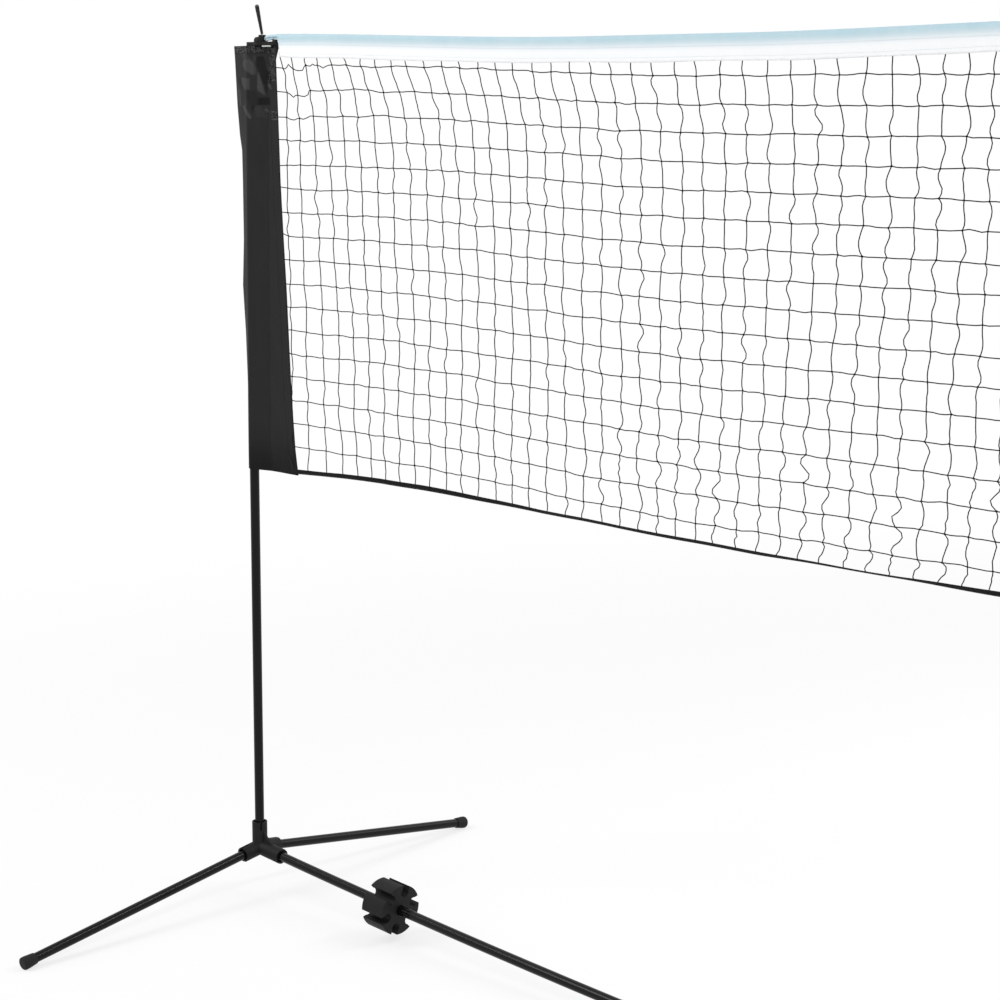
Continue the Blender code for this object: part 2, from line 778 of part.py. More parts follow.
def cord_lock(side, end):
    # A low dome on the plate, with a slotted knob nearer to the net
    outline = [
        (0, GAP),
        (LOCK_RADIUS, GAP),
        (LOCK_RADIUS, 0.35 * LOCK_SHOULDER),
        (0.93 * LOCK_RADIUS, 0.68 * LOCK_SHOULDER),
        (0.78 * LOCK_RADIUS, 0.92 * LOCK_SHOULDER),
        (0.55 * LOCK_RADIUS, LOCK_SHOULDER),
        (0, LOCK_SHOULDER),
    ]
    centre = Matrix.Translation((LOCK_PLACE, 0, PLATE_TOP))
    lock = turned(f"{side}_cord_lock", outline, SOCKET_SIDES, "moulded_black", end, centre)
    at_knob = centre @ Matrix.Translation((KNOB_OFFSET, 0, 0))
    rounding = 0.12 * KNOB_RADIUS
    outline = [
        (0, LOCK_SHOULDER / 2),
        (KNOB_RADIUS, LOCK_SHOULDER / 2),
        (KNOB_RADIUS, LOCK_HEIGHT - rounding),
        (KNOB_RADIUS - rounding, LOCK_HEIGHT),
        (0, LOCK_HEIGHT),
    ]
    knob = turned(f"{side} lock knob", outline, SOCKET_SIDES, end=end, matrix=at_knob)
    inside = smooth_route(end_route(), 3)[3:20]
    channel_radius = CORD_RADIUS + CORD_CLEARANCE
    cuts = [round_cord(f"{side} lock channel", inside, channel_radius, end=end)]
    for k in range(2):
        slot = box(
            f"{side} knob slot {k + 1}",
            (-KNOB_SLOT_WIDTH / 2, -2 * KNOB_RADIUS, LOCK_HEIGHT - KNOB_SLOT_DEPTH),
            (KNOB_SLOT_WIDTH / 2, 2 * KNOB_RADIUS, 2 * LOCK_HEIGHT),
            end,
            at_knob @ Matrix.Rotation(math.pi / 4 + math.pi / 2 * k, 4, "Z"),
        )
        cuts.append(slot)
    combine(lock, "UNION", [knob])
    combine(lock, "DIFFERENCE", cuts)


def cord_pull(side, end):
    # Moulded grip on the cord's end, with a blind bore that the cord fills
    bore = CORD_RADIUS + GAP
    outline = [
        (0, PULL_BORE_DEPTH),
        (bore, PULL_BORE_DEPTH),
        (bore, 0),
        (bore + PULL_WALL, 0),
        (PULL_RADIUS, PULL_LENGTH - PULL_RADIUS),
        (0.87 * PULL_RADIUS, PULL_LENGTH - 0.5 * PULL_RADIUS),
        (0.5 * PULL_RADIUS, PULL_LENGTH - 0.13 * PULL_RADIUS),
        (0, PULL_LENGTH),
    ]
    axis = leaning(-TAIL_LEAN)
    matrix = aim(tail_base() + axis * PULL_START, axis)
    turned(f"{side}_cord_pull", outline, PULL_SIDES, "pull_plastic", end, matrix)


def corner_loop(side, end):
    x = PLATE_END - LOOP_FROM_END
    y = LOOP_FROM_FRONT - PLATE_WIDTH / 2
    z = POST_TOP - GAP - LOOP_RADIUS
    route = []
    for i in range(LOOP_STEPS):
        angle = 2 * math.pi * i / LOOP_STEPS
        along = LOOP_HALF_LENGTH * math.cos(angle)
        route.append(Vector((x + along, y + LOOP_HALF_WIDTH * math.sin(angle), z)))
    name = f"{side}_corner_loop"
    round_cord(name, route, LOOP_RADIUS, "cord_white", end, Z_AXIS, closed=True)


# Side sleeve


def sleeve_fold(x, height):
    # Slanting folds of the flat part, which fade at the hem, both side edges and the pocket
    below = SLEEVE_TOP - height
    at_hem = smooth_step(below, FOLD_START, FOLD_FULL)
    lower = 1 - FOLD_CALM * smooth_step(below, FOLD_CALM_START, FOLD_CALM_END)
    off_post = smooth_step(abs(x - post_x(height)), SLEEVE_OUTER, SLEEVE_SEAM)
    off_net = smooth_step(sleeve_right(height) - x, 0, SLEEVE_SEAM)
    off_left = smooth_step(x - sleeve_left(height), 0, SLEEVE_SEAM)
    wave = math.sin(2 * math.pi * (height / FOLD_PITCH + x / FOLD_PITCH))
    return FOLD_DEPTH * at_hem * lower * off_post * off_net * off_left * wave


def sleeve_ring(height):
    axis = post_x(height)
    left = sleeve_left(height)
    right = sleeve_right(height)
    seam = axis + SLEEVE_SEAM
    thin = SLEEVE_THICKNESS / 2
    flat_steps, arc_steps = 4, 6
    upper = [(right + (seam - right) * i / flat_steps, thin) for i in range(flat_steps + 1)]
    to_seam = Vector((seam - axis, thin))
    to_left = Vector((left - axis, thin))
    first = math.atan2(thin, to_seam.x) + math.acos(SLEEVE_OUTER / to_seam.length)
    last = math.atan2(thin, to_left.x) - math.acos(SLEEVE_OUTER / to_left.length)
    for i in range(arc_steps + 1):
        angle = first + (last - first) * i / arc_steps
        x = axis + SLEEVE_OUTER * math.cos(angle)
        upper.append((x, SLEEVE_OUTER * math.sin(angle)))
    upper.append((left, thin))
    lower = [(x, -y) for x, y in reversed(upper)]
    return [Vector((x, y + sleeve_fold(x, height), height)) for x, y in upper + lower]


def side_sleeve(side, end):
    heights = []
    for i in range(SLEEVE_STATIONS + 1):
        share = (i / SLEEVE_STATIONS) ** 0.8
        heights.append(SLEEVE_BOTTOM + SLEEVE_LENGTH * share)
    rings = [sleeve_ring(height) for height in heights]
    sleeve = loft(f"{side}_side_sleeve", rings, "sleeve_black", end)
    pocket = cylinder(
        f"{side} sleeve pocket",
        TUBE_RADIUS + SLEEVE_CLEARANCE,
        along_upper_post(SLEEVE_BOTTOM) - SLEEVE_SEAM,
        along_upper_post(SLEEVE_TOP) + SLEEVE_SEAM,
        SOCKET_SIDES,
        end,
        upper_post_matrix(),
    )
    combine(sleeve, "DIFFERENCE", [pocket])


# Net pieces, in the world frame


def mirrored(left, middle):
    # Rows of (x, ...) for the left half, the middle and the left half turned about x = 0
    right = [(-x, *others) for x, *others in reversed(left)]
    return [*left, middle, *right]


def evenly(start):
    # Distances from the hub, from start to just short of the net's middle
    step = (HALF_SPAN - start) / BAND_STATIONS
    return [start + step * i for i in range(BAND_STATIONS)]


def band_stations():
    # Distance from the hub, the roll's radius and the drop to the band's edge
    stations = [
        (reach, roll * BAND_ROLL, drop * BAND_ROLL) for reach, roll, drop in BAND_GATHERS
    ]
    for reach in evenly(BAND_FULL):
        stations.append((reach, BAND_ROLL, cord_height(reach) - band_edge(reach)))
    return stations


def arch(radius, half, steps):
    # An arc over the top, from one point at this half width below the centre to the other
    first = -math.acos(half / radius)
    angles = [first + (math.pi - 2 * first) * i / steps for i in range(steps + 1)]
    return [(radius * math.cos(a), radius * math.sin(a)) for a in angles]


def band_section(x, roll, drop):
    # A hairpin: over the cord, then two walls down to the edge, with the net's slot between
    centre = cord_height(HALF_SPAN - abs(x))
    thick, slot = BAND_HALF_THICKNESS, NET_SLOT / 2
    outside = [(thick, -drop), *arch(roll, thick, 8), (-thick, -drop)]
    bore = CORD_RADIUS + CORD_CLEARANCE
    inside = [(slot, -drop), *arch(bore, slot, 6), (-slot, -drop)]
    return [Vector((x, y, centre + z)) for y, z in outside + inside[::-1]]


def head_band():
    left = [(reach - HALF_SPAN, roll, drop) for reach, roll, drop in band_stations()]
    middle = (0, BAND_ROLL, cord_height(HALF_SPAN) - band_edge(HALF_SPAN))
    rings = [band_section(*row) for row in mirrored(left, middle)]
    loft("head_band", rings, "band_white")


def tension_cord():
    left = [(point.x - HALF_SPAN, point.z) for point in smooth_route(end_route(), 3)]
    for reach, _, _ in band_stations()[1:]:
        left.append((reach - HALF_SPAN, cord_height(reach)))
    rows = mirrored(left, (0, cord_height(HALF_SPAN)))
    route = [Vector((x, 0, z)) for x, z in rows]
    round_cord("tension_cord", route, CORD_RADIUS, "cord_white")


def net_point(column, row):
    # Place of the netting at these shares of its width and height, both from 0 to 1
    start = net_start()
    flat = start + (SPAN - 2 * start) * column
    near = min(flat, SPAN - flat)
    low = tape_height(near) - TAPE_HEIGHT / 2 + TAPE_FOLD + GAP
    height = low + (band_top(near) - NET_TUCK - low) * row
    corner = NET_CORNER * smooth_step(height, SLEEVE_TOP - SLEEVE_SEAM * 5, SLEEVE_TOP)
    edge = sleeve_right(height) + 3 * GAP + corner
    fade = max(0, 1 - (near - start) / NET_LEAN_LENGTH) ** 2
    shift = (start - edge) * fade
    return flat - math.copysign(shift, HALF_SPAN - flat) - HALF_SPAN, height


def strip_shares(count, strip):
    # Both edges of each of the count + 1 strips, as shares of the whole
    shares = []
    for i in range(count + 1):
        low = (1 - strip) * i / count
        shares += [low, low + strip]
    return shares


def netting():
    # A flat lattice, whose strips follow the net's sag
    drop = band_edge(HALF_SPAN) - tape_height(HALF_SPAN)
    columns = strip_shares(NET_COLUMNS, NET_CORD_WIDTH / (SPAN - 2 * net_start()))
    rows = strip_shares(NET_ROWS, NET_CORD_WIDTH / drop)
    shape = bmesh.new()
    faces = {}
    for y in (-NET_THICKNESS / 2, NET_THICKNESS / 2):
        for i, column in enumerate(columns):
            for j, row in enumerate(rows):
                x, z = net_point(column, row)
                faces[y < 0, i, j] = shape.verts.new((x, y, z))

    def is_strip(i, j):
        inside = 0 <= i < len(columns) - 1 and 0 <= j < len(rows) - 1
        return inside and (i % 2 == 0 or j % 2 == 0)

    for i in range(len(columns) - 1):
        for j in range(len(rows) - 1):
            if not is_strip(i, j):
                continue
            corners = [(i, j), (i + 1, j), (i + 1, j + 1), (i, j + 1)]
            shape.faces.new([faces[True, a, b] for a, b in corners])
            shape.faces.new([faces[False, a, b] for a, b in reversed(corners)])
            beside = [(i, j - 1), (i + 1, j), (i, j + 1), (i - 1, j)]
            for k, neighbour in enumerate(beside):
                if not is_strip(*neighbour):
                    a, b = corners[k], corners[(k + 1) % 4]
                    wall = [faces[True, *b], faces[True, *a], faces[False, *a], faces[False, *b]]
                    shape.faces.new(wall)
    mesh_piece("netting", shape, "net_black")


def tape_section(x):
    # A folded tape, open at the top for the net's foot
    low = tape_height(HALF_SPAN - abs(x)) - TAPE_HEIGHT / 2
    high = low + TAPE_HEIGHT
    outer, slot = TAPE_THICKNESS / 2, NET_SLOT / 2
    outside = [(outer, high), (outer, low), (-outer, low), (-outer, high)]
    inside = [(-slot, high), (-slot, low + TAPE_FOLD), (slot, low + TAPE_FOLD), (slot, high)]
    return [Vector((x, y, z)) for y, z in outside + inside]


def bottom_tape():
    # One station for each line of the net, so that the tape keeps clear of the net's foot
    length = SPAN - 2 * net_start()
    xs = [length * (i / NET_COLUMNS - 0.5) for i in range(NET_COLUMNS + 1)]
    loft("bottom_tape", [tape_section(x) for x in xs], "tape_black")


def build_end(side, matrix, floor_cutter):
    end = place(bpy.data.objects.new(f"{side} end", None), matrix=matrix)
    base_connector(side, end)
    # The right end is turned half round, so its own front faces the world's back
    faces_round = {"front": "back", "back": "front"}
    places = socket_matrices()
    for local in ("front", "back"):
        world = local if side == "left" else faces_round[local]
        leg(f"{side}_{world}_leg", places[local], end, floor_cutter)
    storage_clip(side, end)
    post(side, end)
    post_cap(side, end)
    cord_lock(side, end)
    cord_pull(side, end)
    corner_loop(side, end)
    side_sleeve(side, end)


def build():
    clear_scene()
    make_materials()
    floor_cutter = box("floor cutter", (-SPAN, -SPAN, -SPAN), (SPAN, SPAN, 0))
    left = Matrix.Translation((-HALF_SPAN, 0, 0))
    right = Matrix.Translation((HALF_SPAN, 0, 0)) @ Matrix.Rotation(math.pi, 4, "Z")
    build_end("left", left, floor_cutter)
    build_end("right", right, floor_cutter)
    floor_bar()
    head_band()
    tension_cord()
    netting()
    bottom_tape()


build()
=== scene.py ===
import math

import bmesh
import bpy
import numpy as np
from mathutils import Matrix, Vector


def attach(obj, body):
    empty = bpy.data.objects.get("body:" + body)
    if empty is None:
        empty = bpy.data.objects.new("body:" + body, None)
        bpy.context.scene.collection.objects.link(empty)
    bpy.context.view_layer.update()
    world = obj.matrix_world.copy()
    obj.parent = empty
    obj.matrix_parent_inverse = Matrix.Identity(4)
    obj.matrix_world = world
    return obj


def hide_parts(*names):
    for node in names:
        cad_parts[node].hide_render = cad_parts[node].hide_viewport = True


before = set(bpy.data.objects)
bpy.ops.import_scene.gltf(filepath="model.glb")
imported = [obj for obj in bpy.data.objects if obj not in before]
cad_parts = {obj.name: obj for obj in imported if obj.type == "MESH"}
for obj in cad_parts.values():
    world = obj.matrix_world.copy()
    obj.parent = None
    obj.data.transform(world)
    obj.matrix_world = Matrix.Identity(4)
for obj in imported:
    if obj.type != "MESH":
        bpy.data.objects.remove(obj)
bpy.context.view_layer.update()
print("frame loaded")

# Metres. +X runs along the net, +Y away from the viewer, +Z up, with the origin on the floor.
# Each end has its own frame: the floor under its hub, with +x towards the net.
halfSpan = 2.9
fullTurn = 2 * math.pi
tube = dict(
    radius=0.0085, wall=0.0008, sides=40, spigotRadius=0.0068, spigotLength=0.045, swage=0.008,
    gap=0.0003, start=0.016, ease=0.00025,
)
base = dict(
    hubHeight=0.0875, touchdown=1.93, barRest=0.008337, barSections=6, legReach=0.535,
    legSplay=math.radians(0.75), capRadius=0.0115, capFillet=0.003, footFlat=0.0005,
)
post = dict(
    top=1.547, plateTop=1.5532, lowerLean=math.radians(0.41), upperLean=math.radians(0.95),
    sleeveBottom=0.8007, jointCover=0.0285,
)
postJoint = post["sleeveBottom"] + post["jointCover"]
endFrames = {
    "left": Matrix.Translation((-halfSpan, 0, 0)),
    "right": Matrix.Translation((halfSpan, 0, 0)) @ Matrix.Rotation(math.pi, 4, "Z"),
}


def smoothStep(value, low, high):
    share = min(1.0, max(0.0, (value - low) / (high - low)))
    return share * share * (3 - 2 * share)


def metres(tenths):
    # From tenths of a millimetre
    return [value / 10000 for value in tenths]


def readOff(table, place, column):
    return float(np.interp(place, table["at"], table[column]))


# Node trees: one class wraps a tree, and one wraps an output, so that values take plain maths


class Signal:
    def __init__(self, graph, socket):
        self.graph = graph
        self.socket = socket

    def joined(self, operation, first, second):
        return self.graph.add("Math", {0: first, 1: second}, operation=operation)

    def __add__(self, other):
        return self.joined("ADD", self, other)

    def __sub__(self, other):
        return self.joined("SUBTRACT", self, other)

    def __rsub__(self, other):
        return self.joined("SUBTRACT", other, self)

    def __mul__(self, other):
        return self.joined("MULTIPLY", self, other)

    __radd__ = __add__
    __rmul__ = __mul__


class Graph:
    def __init__(self, tree, family="ShaderNode"):
        self.tree = tree
        self.family = family

    def add(self, kind, sockets=None, output=0, **settings):
        # Most kinds are given without the family's name in front
        node = self.tree.nodes.new(kind if "Node" in kind else self.family + kind)
        for name, value in settings.items():
            setattr(node, name, value)
        for name, value in (sockets or {}).items():
            if isinstance(value, Signal):
                self.tree.links.new(value.socket, node.inputs[name])
            else:
                node.inputs[name].default_value = value
        return Signal(self, node.outputs[output]) if len(node.outputs) else None

    def sine(self, value):
        return self.add("Math", {0: value}, operation="SINE")

    def clipped(self, value, low, high):
        sockets = {"Value": value, "From Min": low, "From Max": high}
        return self.add("MapRange", sockets, interpolation_type="SMOOTHSTEP")

    def tinted(self, share, first, second):
        # Colours blend in a Mix node
        return self.add("Mix", {0: share, 6: first, 7: second}, 2, data_type="RGBA")

    def toned(self, share=1.0, more=0.0):
        # The finish's own colour, made darker or paler
        return (*(part * share + more for part in finishes[self.name][0]), 1)

    def noise(self, scale, detail=2.0, rough=0.5):
        # A scale for each axis goes through a mapping
        place = self.place
        if isinstance(scale, tuple):
            place = self.add("Mapping", {"Vector": place, "Scale": scale})
            scale = 1.0
        sockets = {"Vector": place, "Scale": scale, "Detail": detail, "Roughness": rough}
        return self.add("TexNoise", sockets)

    def attribute(self, name):
        return self.add("Attribute", {}, 2, attribute_name=name)

    def axis(self, vector, number):
        return self.add("SeparateXYZ", {0: vector}, number)

    def lay(self, look, way=1):
        # A wave that winds round a cord
        along = self.attribute("along") * (fullTurn / look["pitch"])
        return self.sine(along + self.attribute("around") * (fullTurn * look["strands"] * way))

    def woven(self, pitch):
        # Over and under threads of a plain weave, from the cloth's own coordinates in metres
        warp, weft = (self.sine(self.axis(self.uv, i) * (math.pi / pitch)) for i in (0, 1))
        return warp * weft

    def backgroundRays(self):
        # 1 for the camera, and for gloss and glass, which show the background too
        rays = [self.add("LightPath", {}, output) for output in (0, 3, 6)]
        return rays[0] + rays[1] + rays[2]

    def bump(self, height, distance, strength, after=None):
        sockets = {"Height": height, "Distance": distance, "Strength": strength}
        if after:
            sockets["Normal"] = after
        return self.add("Bump", sockets)


def cleared(owner):
    owner.use_nodes = True
    owner.node_tree.nodes.clear()
    return Graph(owner.node_tree)


paintLook = dict(
    peelScale=500, peelDepth=0.00001, patchScale=27, scuffScale=240, dullest=0.21, glossiest=0.11,
    dust=0.004,
)
mouldLook = dict(
    grainScale=1500, pitScale=1100, patchScale=26, wearScale=90, grainDepth=0.00012,
    rubberDepth=0.000156, edge=0.0005, dullest=0.68, glossiest=0.50,
)
# The band's first colour is painted shade: a pale blue on its top part, fading out down the band
bandLook = dict(
    paintedBlueShade=(0.43, 0.62, 0.70, 1), white=(0.89, 0.905, 0.92, 1), seam=(0.62, 0.66, 0.74, 1),
    channel=0.025, wander=0.007, seamStart=(0.0168, 0.0176), seamEnd=(0.0180, 0.0190),
    threadPitch=0.0009, threadDepth=0.00018, creaseDepth=0.0012,
)
pullLook = dict(
    tip=(0.13, 0.15, 0.15, 1), tipStart=1.6120, tipEnd=1.6150, grainScale=700, depth=0.00008,
)
braidLook = dict(pitch=0.0022, strands=4, depth=0.00025, fuzzScale=3200)
twineLook = dict(pitch=0.0030, strands=3, depth=0.0002, fuzzScale=1800)
threadLook = dict(twistScale=900, depth=0.0001, spotScale=330, wornShare=0.07)
tapeLook = dict(threadPitch=0.0011, depth=0.00025, fuzzScale=900)
sleeveLook = dict(
    threadPitch=0.0012, threadDepth=0.00012, crackleScale=340, crackleDepth=0.0004,
    foldDepth=0.0016, hemStart=0.0145, hemEnd=0.0125,
)


# Each of these returns the colour, the roughness and the normal, which vary over the surface


def paintNodes(graph):
    patches = graph.noise(paintLook["patchScale"], 3.0)
    scuffs = graph.clipped(graph.noise(paintLook["scuffScale"], 4.0), 0.60, 0.72)
    spread = paintLook["dullest"] - paintLook["glossiest"]
    dusty = graph.toned(1.0, paintLook["dust"])
    return (
        graph.tinted(scuffs * 0.45 + patches * 0.15, graph.toned(), dusty),
        paintLook["glossiest"] + patches * spread + scuffs * 0.10,
        graph.bump(graph.noise(paintLook["peelScale"], 1.0), paintLook["peelDepth"], 0.08),
    )


def mouldNodes(graph):
    grain = graph.noise(mouldLook["grainScale"], 3.0, 0.6)
    pits = graph.add("TexVoronoi", {"Vector": graph.place, "Scale": mouldLook["pitScale"]})
    patches = graph.noise(mouldLook["patchScale"], 3.0)
    worn = graph.clipped(graph.noise(mouldLook["wearScale"], 5.0, 0.65), 0.50, 0.74)
    rounded = graph.add("Bevel", {"Radius": mouldLook["edge"]}, samples=4)
    depth = mouldLook["rubberDepth" if graph.name == "capRubber" else "grainDepth"]
    return (
        graph.tinted(worn * 0.5 + patches * 0.2, graph.toned(), graph.toned(1.7, 0.004)),
        mouldLook["glossiest"] + patches * (mouldLook["dullest"] - mouldLook["glossiest"]),
        graph.bump(grain * 0.6 + pits * 0.4, depth, 0.6, rounded),
    )


def pullNodes(graph):
    grain = graph.noise(pullLook["grainScale"])
    # The tip is paler, where the cord's end shows in the moulding
    tip = graph.clipped(graph.axis(graph.place, 2), pullLook["tipStart"], pullLook["tipEnd"])
    return (
        graph.tinted(tip * 0.75, graph.toned(), pullLook["tip"]),
        0.34 + grain * 0.16,
        graph.bump(grain, pullLook["depth"], 0.4),
    )


def braidNodes(graph):
    weave = graph.lay(braidLook) * graph.lay(braidLook, -1)
    fuzz = graph.noise(braidLook["fuzzScale"])
    return (
        graph.tinted(weave * 0.3 + 0.5, graph.toned(0.72), graph.toned()),
        0.74 + fuzz * 0.16,
        graph.bump(weave * 0.5 + fuzz * 0.3, braidLook["depth"], 0.7),
    )


def twineNodes(graph):
    lay = graph.lay(twineLook)
    fuzz = graph.noise(twineLook["fuzzScale"])
    return (
        graph.tinted(lay * 0.25 + fuzz * 0.6, graph.toned(), graph.toned(2.2)),
        0.80 + fuzz * 0.15,
        graph.bump(lay * 0.4 + fuzz * 0.6, twineLook["depth"], 0.6),
    )


def threadNodes(graph):
    twist = graph.noise(threadLook["twistScale"], 1.0)
    thread = graph.tinted(twist, graph.toned(0.75), graph.toned())
    if graph.name == "sleeveThread":
        # Worn spots lie as dark as the cloth
        spots = graph.clipped(graph.noise(threadLook["spotScale"], 1.0), 0.46, 0.56)
        thread = graph.tinted(spots, thread, graph.toned(threadLook["wornShare"]))
    return thread, 0.62 + twist * 0.2, graph.bump(twist, threadLook["depth"], 0.5)


def bandNodes(graph):
    ripple = graph.noise((34, 10, 12), 3.0, 0.55)
    down = graph.attribute("belowTop")
    # Painted shade: the band's top is painted pale blue, down to a wandering edge about 25 mm
    # below its top
    edge = down + (graph.noise((3, 3, 3)) - 0.5) * bandLook["wander"]
    channel = 1 - graph.clipped(edge, bandLook["channel"] * 0.15, bandLook["channel"])
    seam = graph.clipped(down, *bandLook["seamStart"])
    seam = seam * (1 - graph.clipped(down, *bandLook["seamEnd"]))
    cloth = graph.tinted(channel * (0.75 + ripple * 0.25), bandLook["white"], bandLook["paintedBlueShade"])
    weave = graph.woven(bandLook["threadPitch"])
    threads = graph.bump(weave, bandLook["threadDepth"], 0.35)
    return (
        graph.tinted(seam * 0.35, cloth, bandLook["seam"]),
        0.80 + ripple * 0.1,
        graph.bump(ripple, bandLook["creaseDepth"], 0.6, threads),
    )


def tapeNodes(graph):
    fuzz = graph.noise(tapeLook["fuzzScale"], 3.0)
    worn = graph.clipped(graph.noise((9, 40, 40), 3.0), 0.45, 0.75)
    height = graph.woven(tapeLook["threadPitch"]) * 0.5 + fuzz * 0.5
    return (
        graph.tinted(worn * 0.6 + fuzz * 0.2, graph.toned(), graph.toned(2.1)),
        0.66 + fuzz * 0.2,
        graph.bump(height, tapeLook["depth"], 0.6),
    )


def sleeveNodes(graph):
    # The cloth is painted pale on the facets that stand out, as a painted highlight, and dark in
    # the hollows and towards its foot, as painted shade
    reliefAndPaintedLight = graph.attribute("reliefAndPaintedLight")
    cloudy = graph.noise((22, 22, 9), 4.0, 0.55)
    folds = graph.noise((60, 20, 14), 2.0, 0.4)
    crackle = graph.noise(sleeveLook["crackleScale"], 4.0, 0.6)
    hem = graph.clipped(graph.axis(graph.place, 2), post["top"] - sleeveLook["hemStart"],
                        post["top"] - sleeveLook["hemEnd"])
    deep = graph.toned(0.28)
    paintedHighlight = graph.clipped(reliefAndPaintedLight + cloudy * 0.25, 0.0, 1.25)
    paintedShade = graph.clipped(reliefAndPaintedLight * -1.0, 0.0, 1.0)
    cloth = graph.tinted(paintedHighlight, graph.toned(), graph.toned(2.4, 0.007))
    cloth = graph.tinted(paintedShade, cloth, deep)
    weave = graph.woven(sleeveLook["threadPitch"])
    threads = graph.bump(weave, sleeveLook["threadDepth"], 0.30)
    crumpled = graph.bump(crackle * (0.3 + hem * 1.2), sleeveLook["crackleDepth"], 0.5, threads)
    return (
        graph.tinted(hem * (crackle * 0.5 + 0.3), cloth, deep),
        0.47 + crackle * 0.16,
        graph.bump(folds, sleeveLook["foldDepth"], 0.5, crumpled),
    )


# Each finish's colour, its nodes, its specular level and its sheen, where it has any
finishes = {
    "tubePaint": ((0.0036, 0.0036, 0.0040), paintNodes, 0.16),
    "mouldedBlack": ((0.0085, 0.0080, 0.0079), mouldNodes, 0.16),
    "capRubber": ((0.0150, 0.0142, 0.0143), mouldNodes, 0.12),
    "pullPlastic": ((0.0070, 0.0070, 0.0075), pullNodes, 0.20),
    "cordWhite": ((0.72, 0.76, 0.74), braidNodes, 0.3),
    "bandCloth": ((0.88, 0.90, 0.91), bandNodes, 0.25, 0.15),
    "bandThread": ((0.74, 0.78, 0.80), threadNodes, 0.3),
    "netTwine": ((0.0095, 0.009, 0.0095), twineNodes, 0.10),
    "tapeCloth": ((0.0075, 0.0073, 0.0075), tapeNodes, 0.10),
    "sleeveCloth": ((0.0150, 0.0147, 0.0150), sleeveNodes, 0.10),
    "sleeveThread": ((0.19, 0.19, 0.195), threadNodes, 0.3),
}


def finish(name, build, specular, sheen=0.0):
    material = bpy.data.materials.new(name)
    graph = cleared(material)
    graph.name = name
    graph.place, graph.uv = (graph.add("TexCoord", {}, output) for output in (3, 2))
    colour, rough, normal = build(graph)
    sockets = {"Base Color": colour, "Roughness": rough, "Normal": normal,
               "Specular IOR Level": specular, "Sheen Weight": sheen}
    shader = graph.add("BsdfPrincipled", sockets)
    graph.add("OutputMaterial", {"Surface": shader})
    material.diffuse_color = graph.toned()
    return material


looks = {name: finish(name, *values[1:]) for name, values in finishes.items()}
print("finishes made")


# Geometry Nodes trees that turn a wire of edges into cords, knots and stitches


def shapeTree(name, numbers):
    tree = bpy.data.node_groups.new(name, "GeometryNodeTree")
    graph = Graph(tree, "GeometryNode")
    face = tree.interface
    for way in ("INPUT", "OUTPUT"):
        face.new_socket(name="Geometry", in_out=way, socket_type="NodeSocketGeometry")
    for label, value in numbers.items():
        kind = "NodeSocketInt" if isinstance(value, int) else "NodeSocketFloat"
        face.new_socket(name=label, in_out="INPUT", socket_type=kind).default_value = value
    entry = tree.nodes.new("NodeGroupInput")
    graph.given = {socket.name: Signal(graph, socket) for socket in entry.outputs if socket.name}
    return graph


def closeTree(graph, geometry, material):
    real = graph.add("RealizeInstances", {"Geometry": geometry})
    sockets = {"Geometry": real, "Material": material}
    painted = graph.add("SetMaterial", sockets)
    out = graph.tree.nodes.new("NodeGroupOutput")
    graph.tree.links.new(painted.socket, out.inputs[0])
    return graph


def cordTree(name, material, radius, sides):
    # A round cord along each line of edges, with its place along and around kept for the lay
    graph = shapeTree(name, {"Cord Radius": radius, "Cord Sides": sides})
    line = graph.add("MeshToCurve", {"Mesh": graph.given["Geometry"]})
    sockets = {"Resolution": graph.given["Cord Sides"], "Radius": graph.given["Cord Radius"]}
    ring = graph.add("CurvePrimitiveCircle", sockets)
    kept = []
    for curve, label, output in ((line, "along", 1), (ring, "around", 0)):
        value = graph.add("SplineParameter", {}, output)
        sockets = {"Geometry": curve, "Name": label, "Value": value}
        kept.append(graph.add("StoreNamedAttribute", sockets, domain="POINT"))
    sockets = {"Curve": kept[0], "Profile Curve": kept[1], "Fill Caps": True}
    cord = graph.add("CurveToMesh", sockets)
    return closeTree(graph, graph.add("SetShadeSmooth", {"Geometry": cord}), material)


def scattered(graph, points, radius, rotation, size, material):
    # A small ball on every point
    sockets = {"Segments": 6, "Rings": 4, "Radius": radius}
    ball = graph.add("MeshUVSphere", sockets)
    ball = graph.add("SetShadeSmooth", {"Geometry": ball})
    sockets = {"Points": points, "Instance": ball, "Rotation": rotation, "Scale": size}
    return closeTree(graph, graph.add("InstanceOnPoints", sockets), material)


def knotTree(name, material, size, seed):
    # The balls turn and stretch at random, into lumpy knots
    graph = shapeTree(name, {"Knot Size": size, "Seed": seed})
    turn, stretch = (
        graph.add("FunctionNodeRandomValue", {0: low, 1: high, "Seed": graph.given["Seed"]},
                  data_type="FLOAT_VECTOR")
        for low, high in (((-0.5, -0.5, -0.5), (0.5, 0.5, 0.5)),
                          ((0.9, 0.75, 0.8), (1.35, 1.0, 1.15)))
    )
    return scattered(graph, graph.given["Geometry"], graph.given["Knot Size"], turn, stretch,
                     material)


def stitchTree(name, material, sizes):
    # A short rounded stitch at even steps along each line of edges
    graph = shapeTree(name, {"Stitch Length": sizes["stitchLength"],
                             "Stitch Width": sizes["stitchWidth"], "Pitch": sizes["stitchPitch"]})
    line = graph.add("MeshToCurve", {"Mesh": graph.given["Geometry"]})
    sockets = {"Curve": line, "Length": graph.given["Pitch"]}
    points = graph.add("CurveToPoints", sockets, mode="LENGTH")
    rotation = Signal(graph, points.socket.node.outputs["Rotation"])
    width = graph.given["Stitch Width"]
    sockets = {0: width, 1: width, 2: graph.given["Stitch Length"]}
    size = graph.add("ShaderNodeCombineXYZ", sockets)
    return scattered(graph, points, 0.5, rotation, size, material)


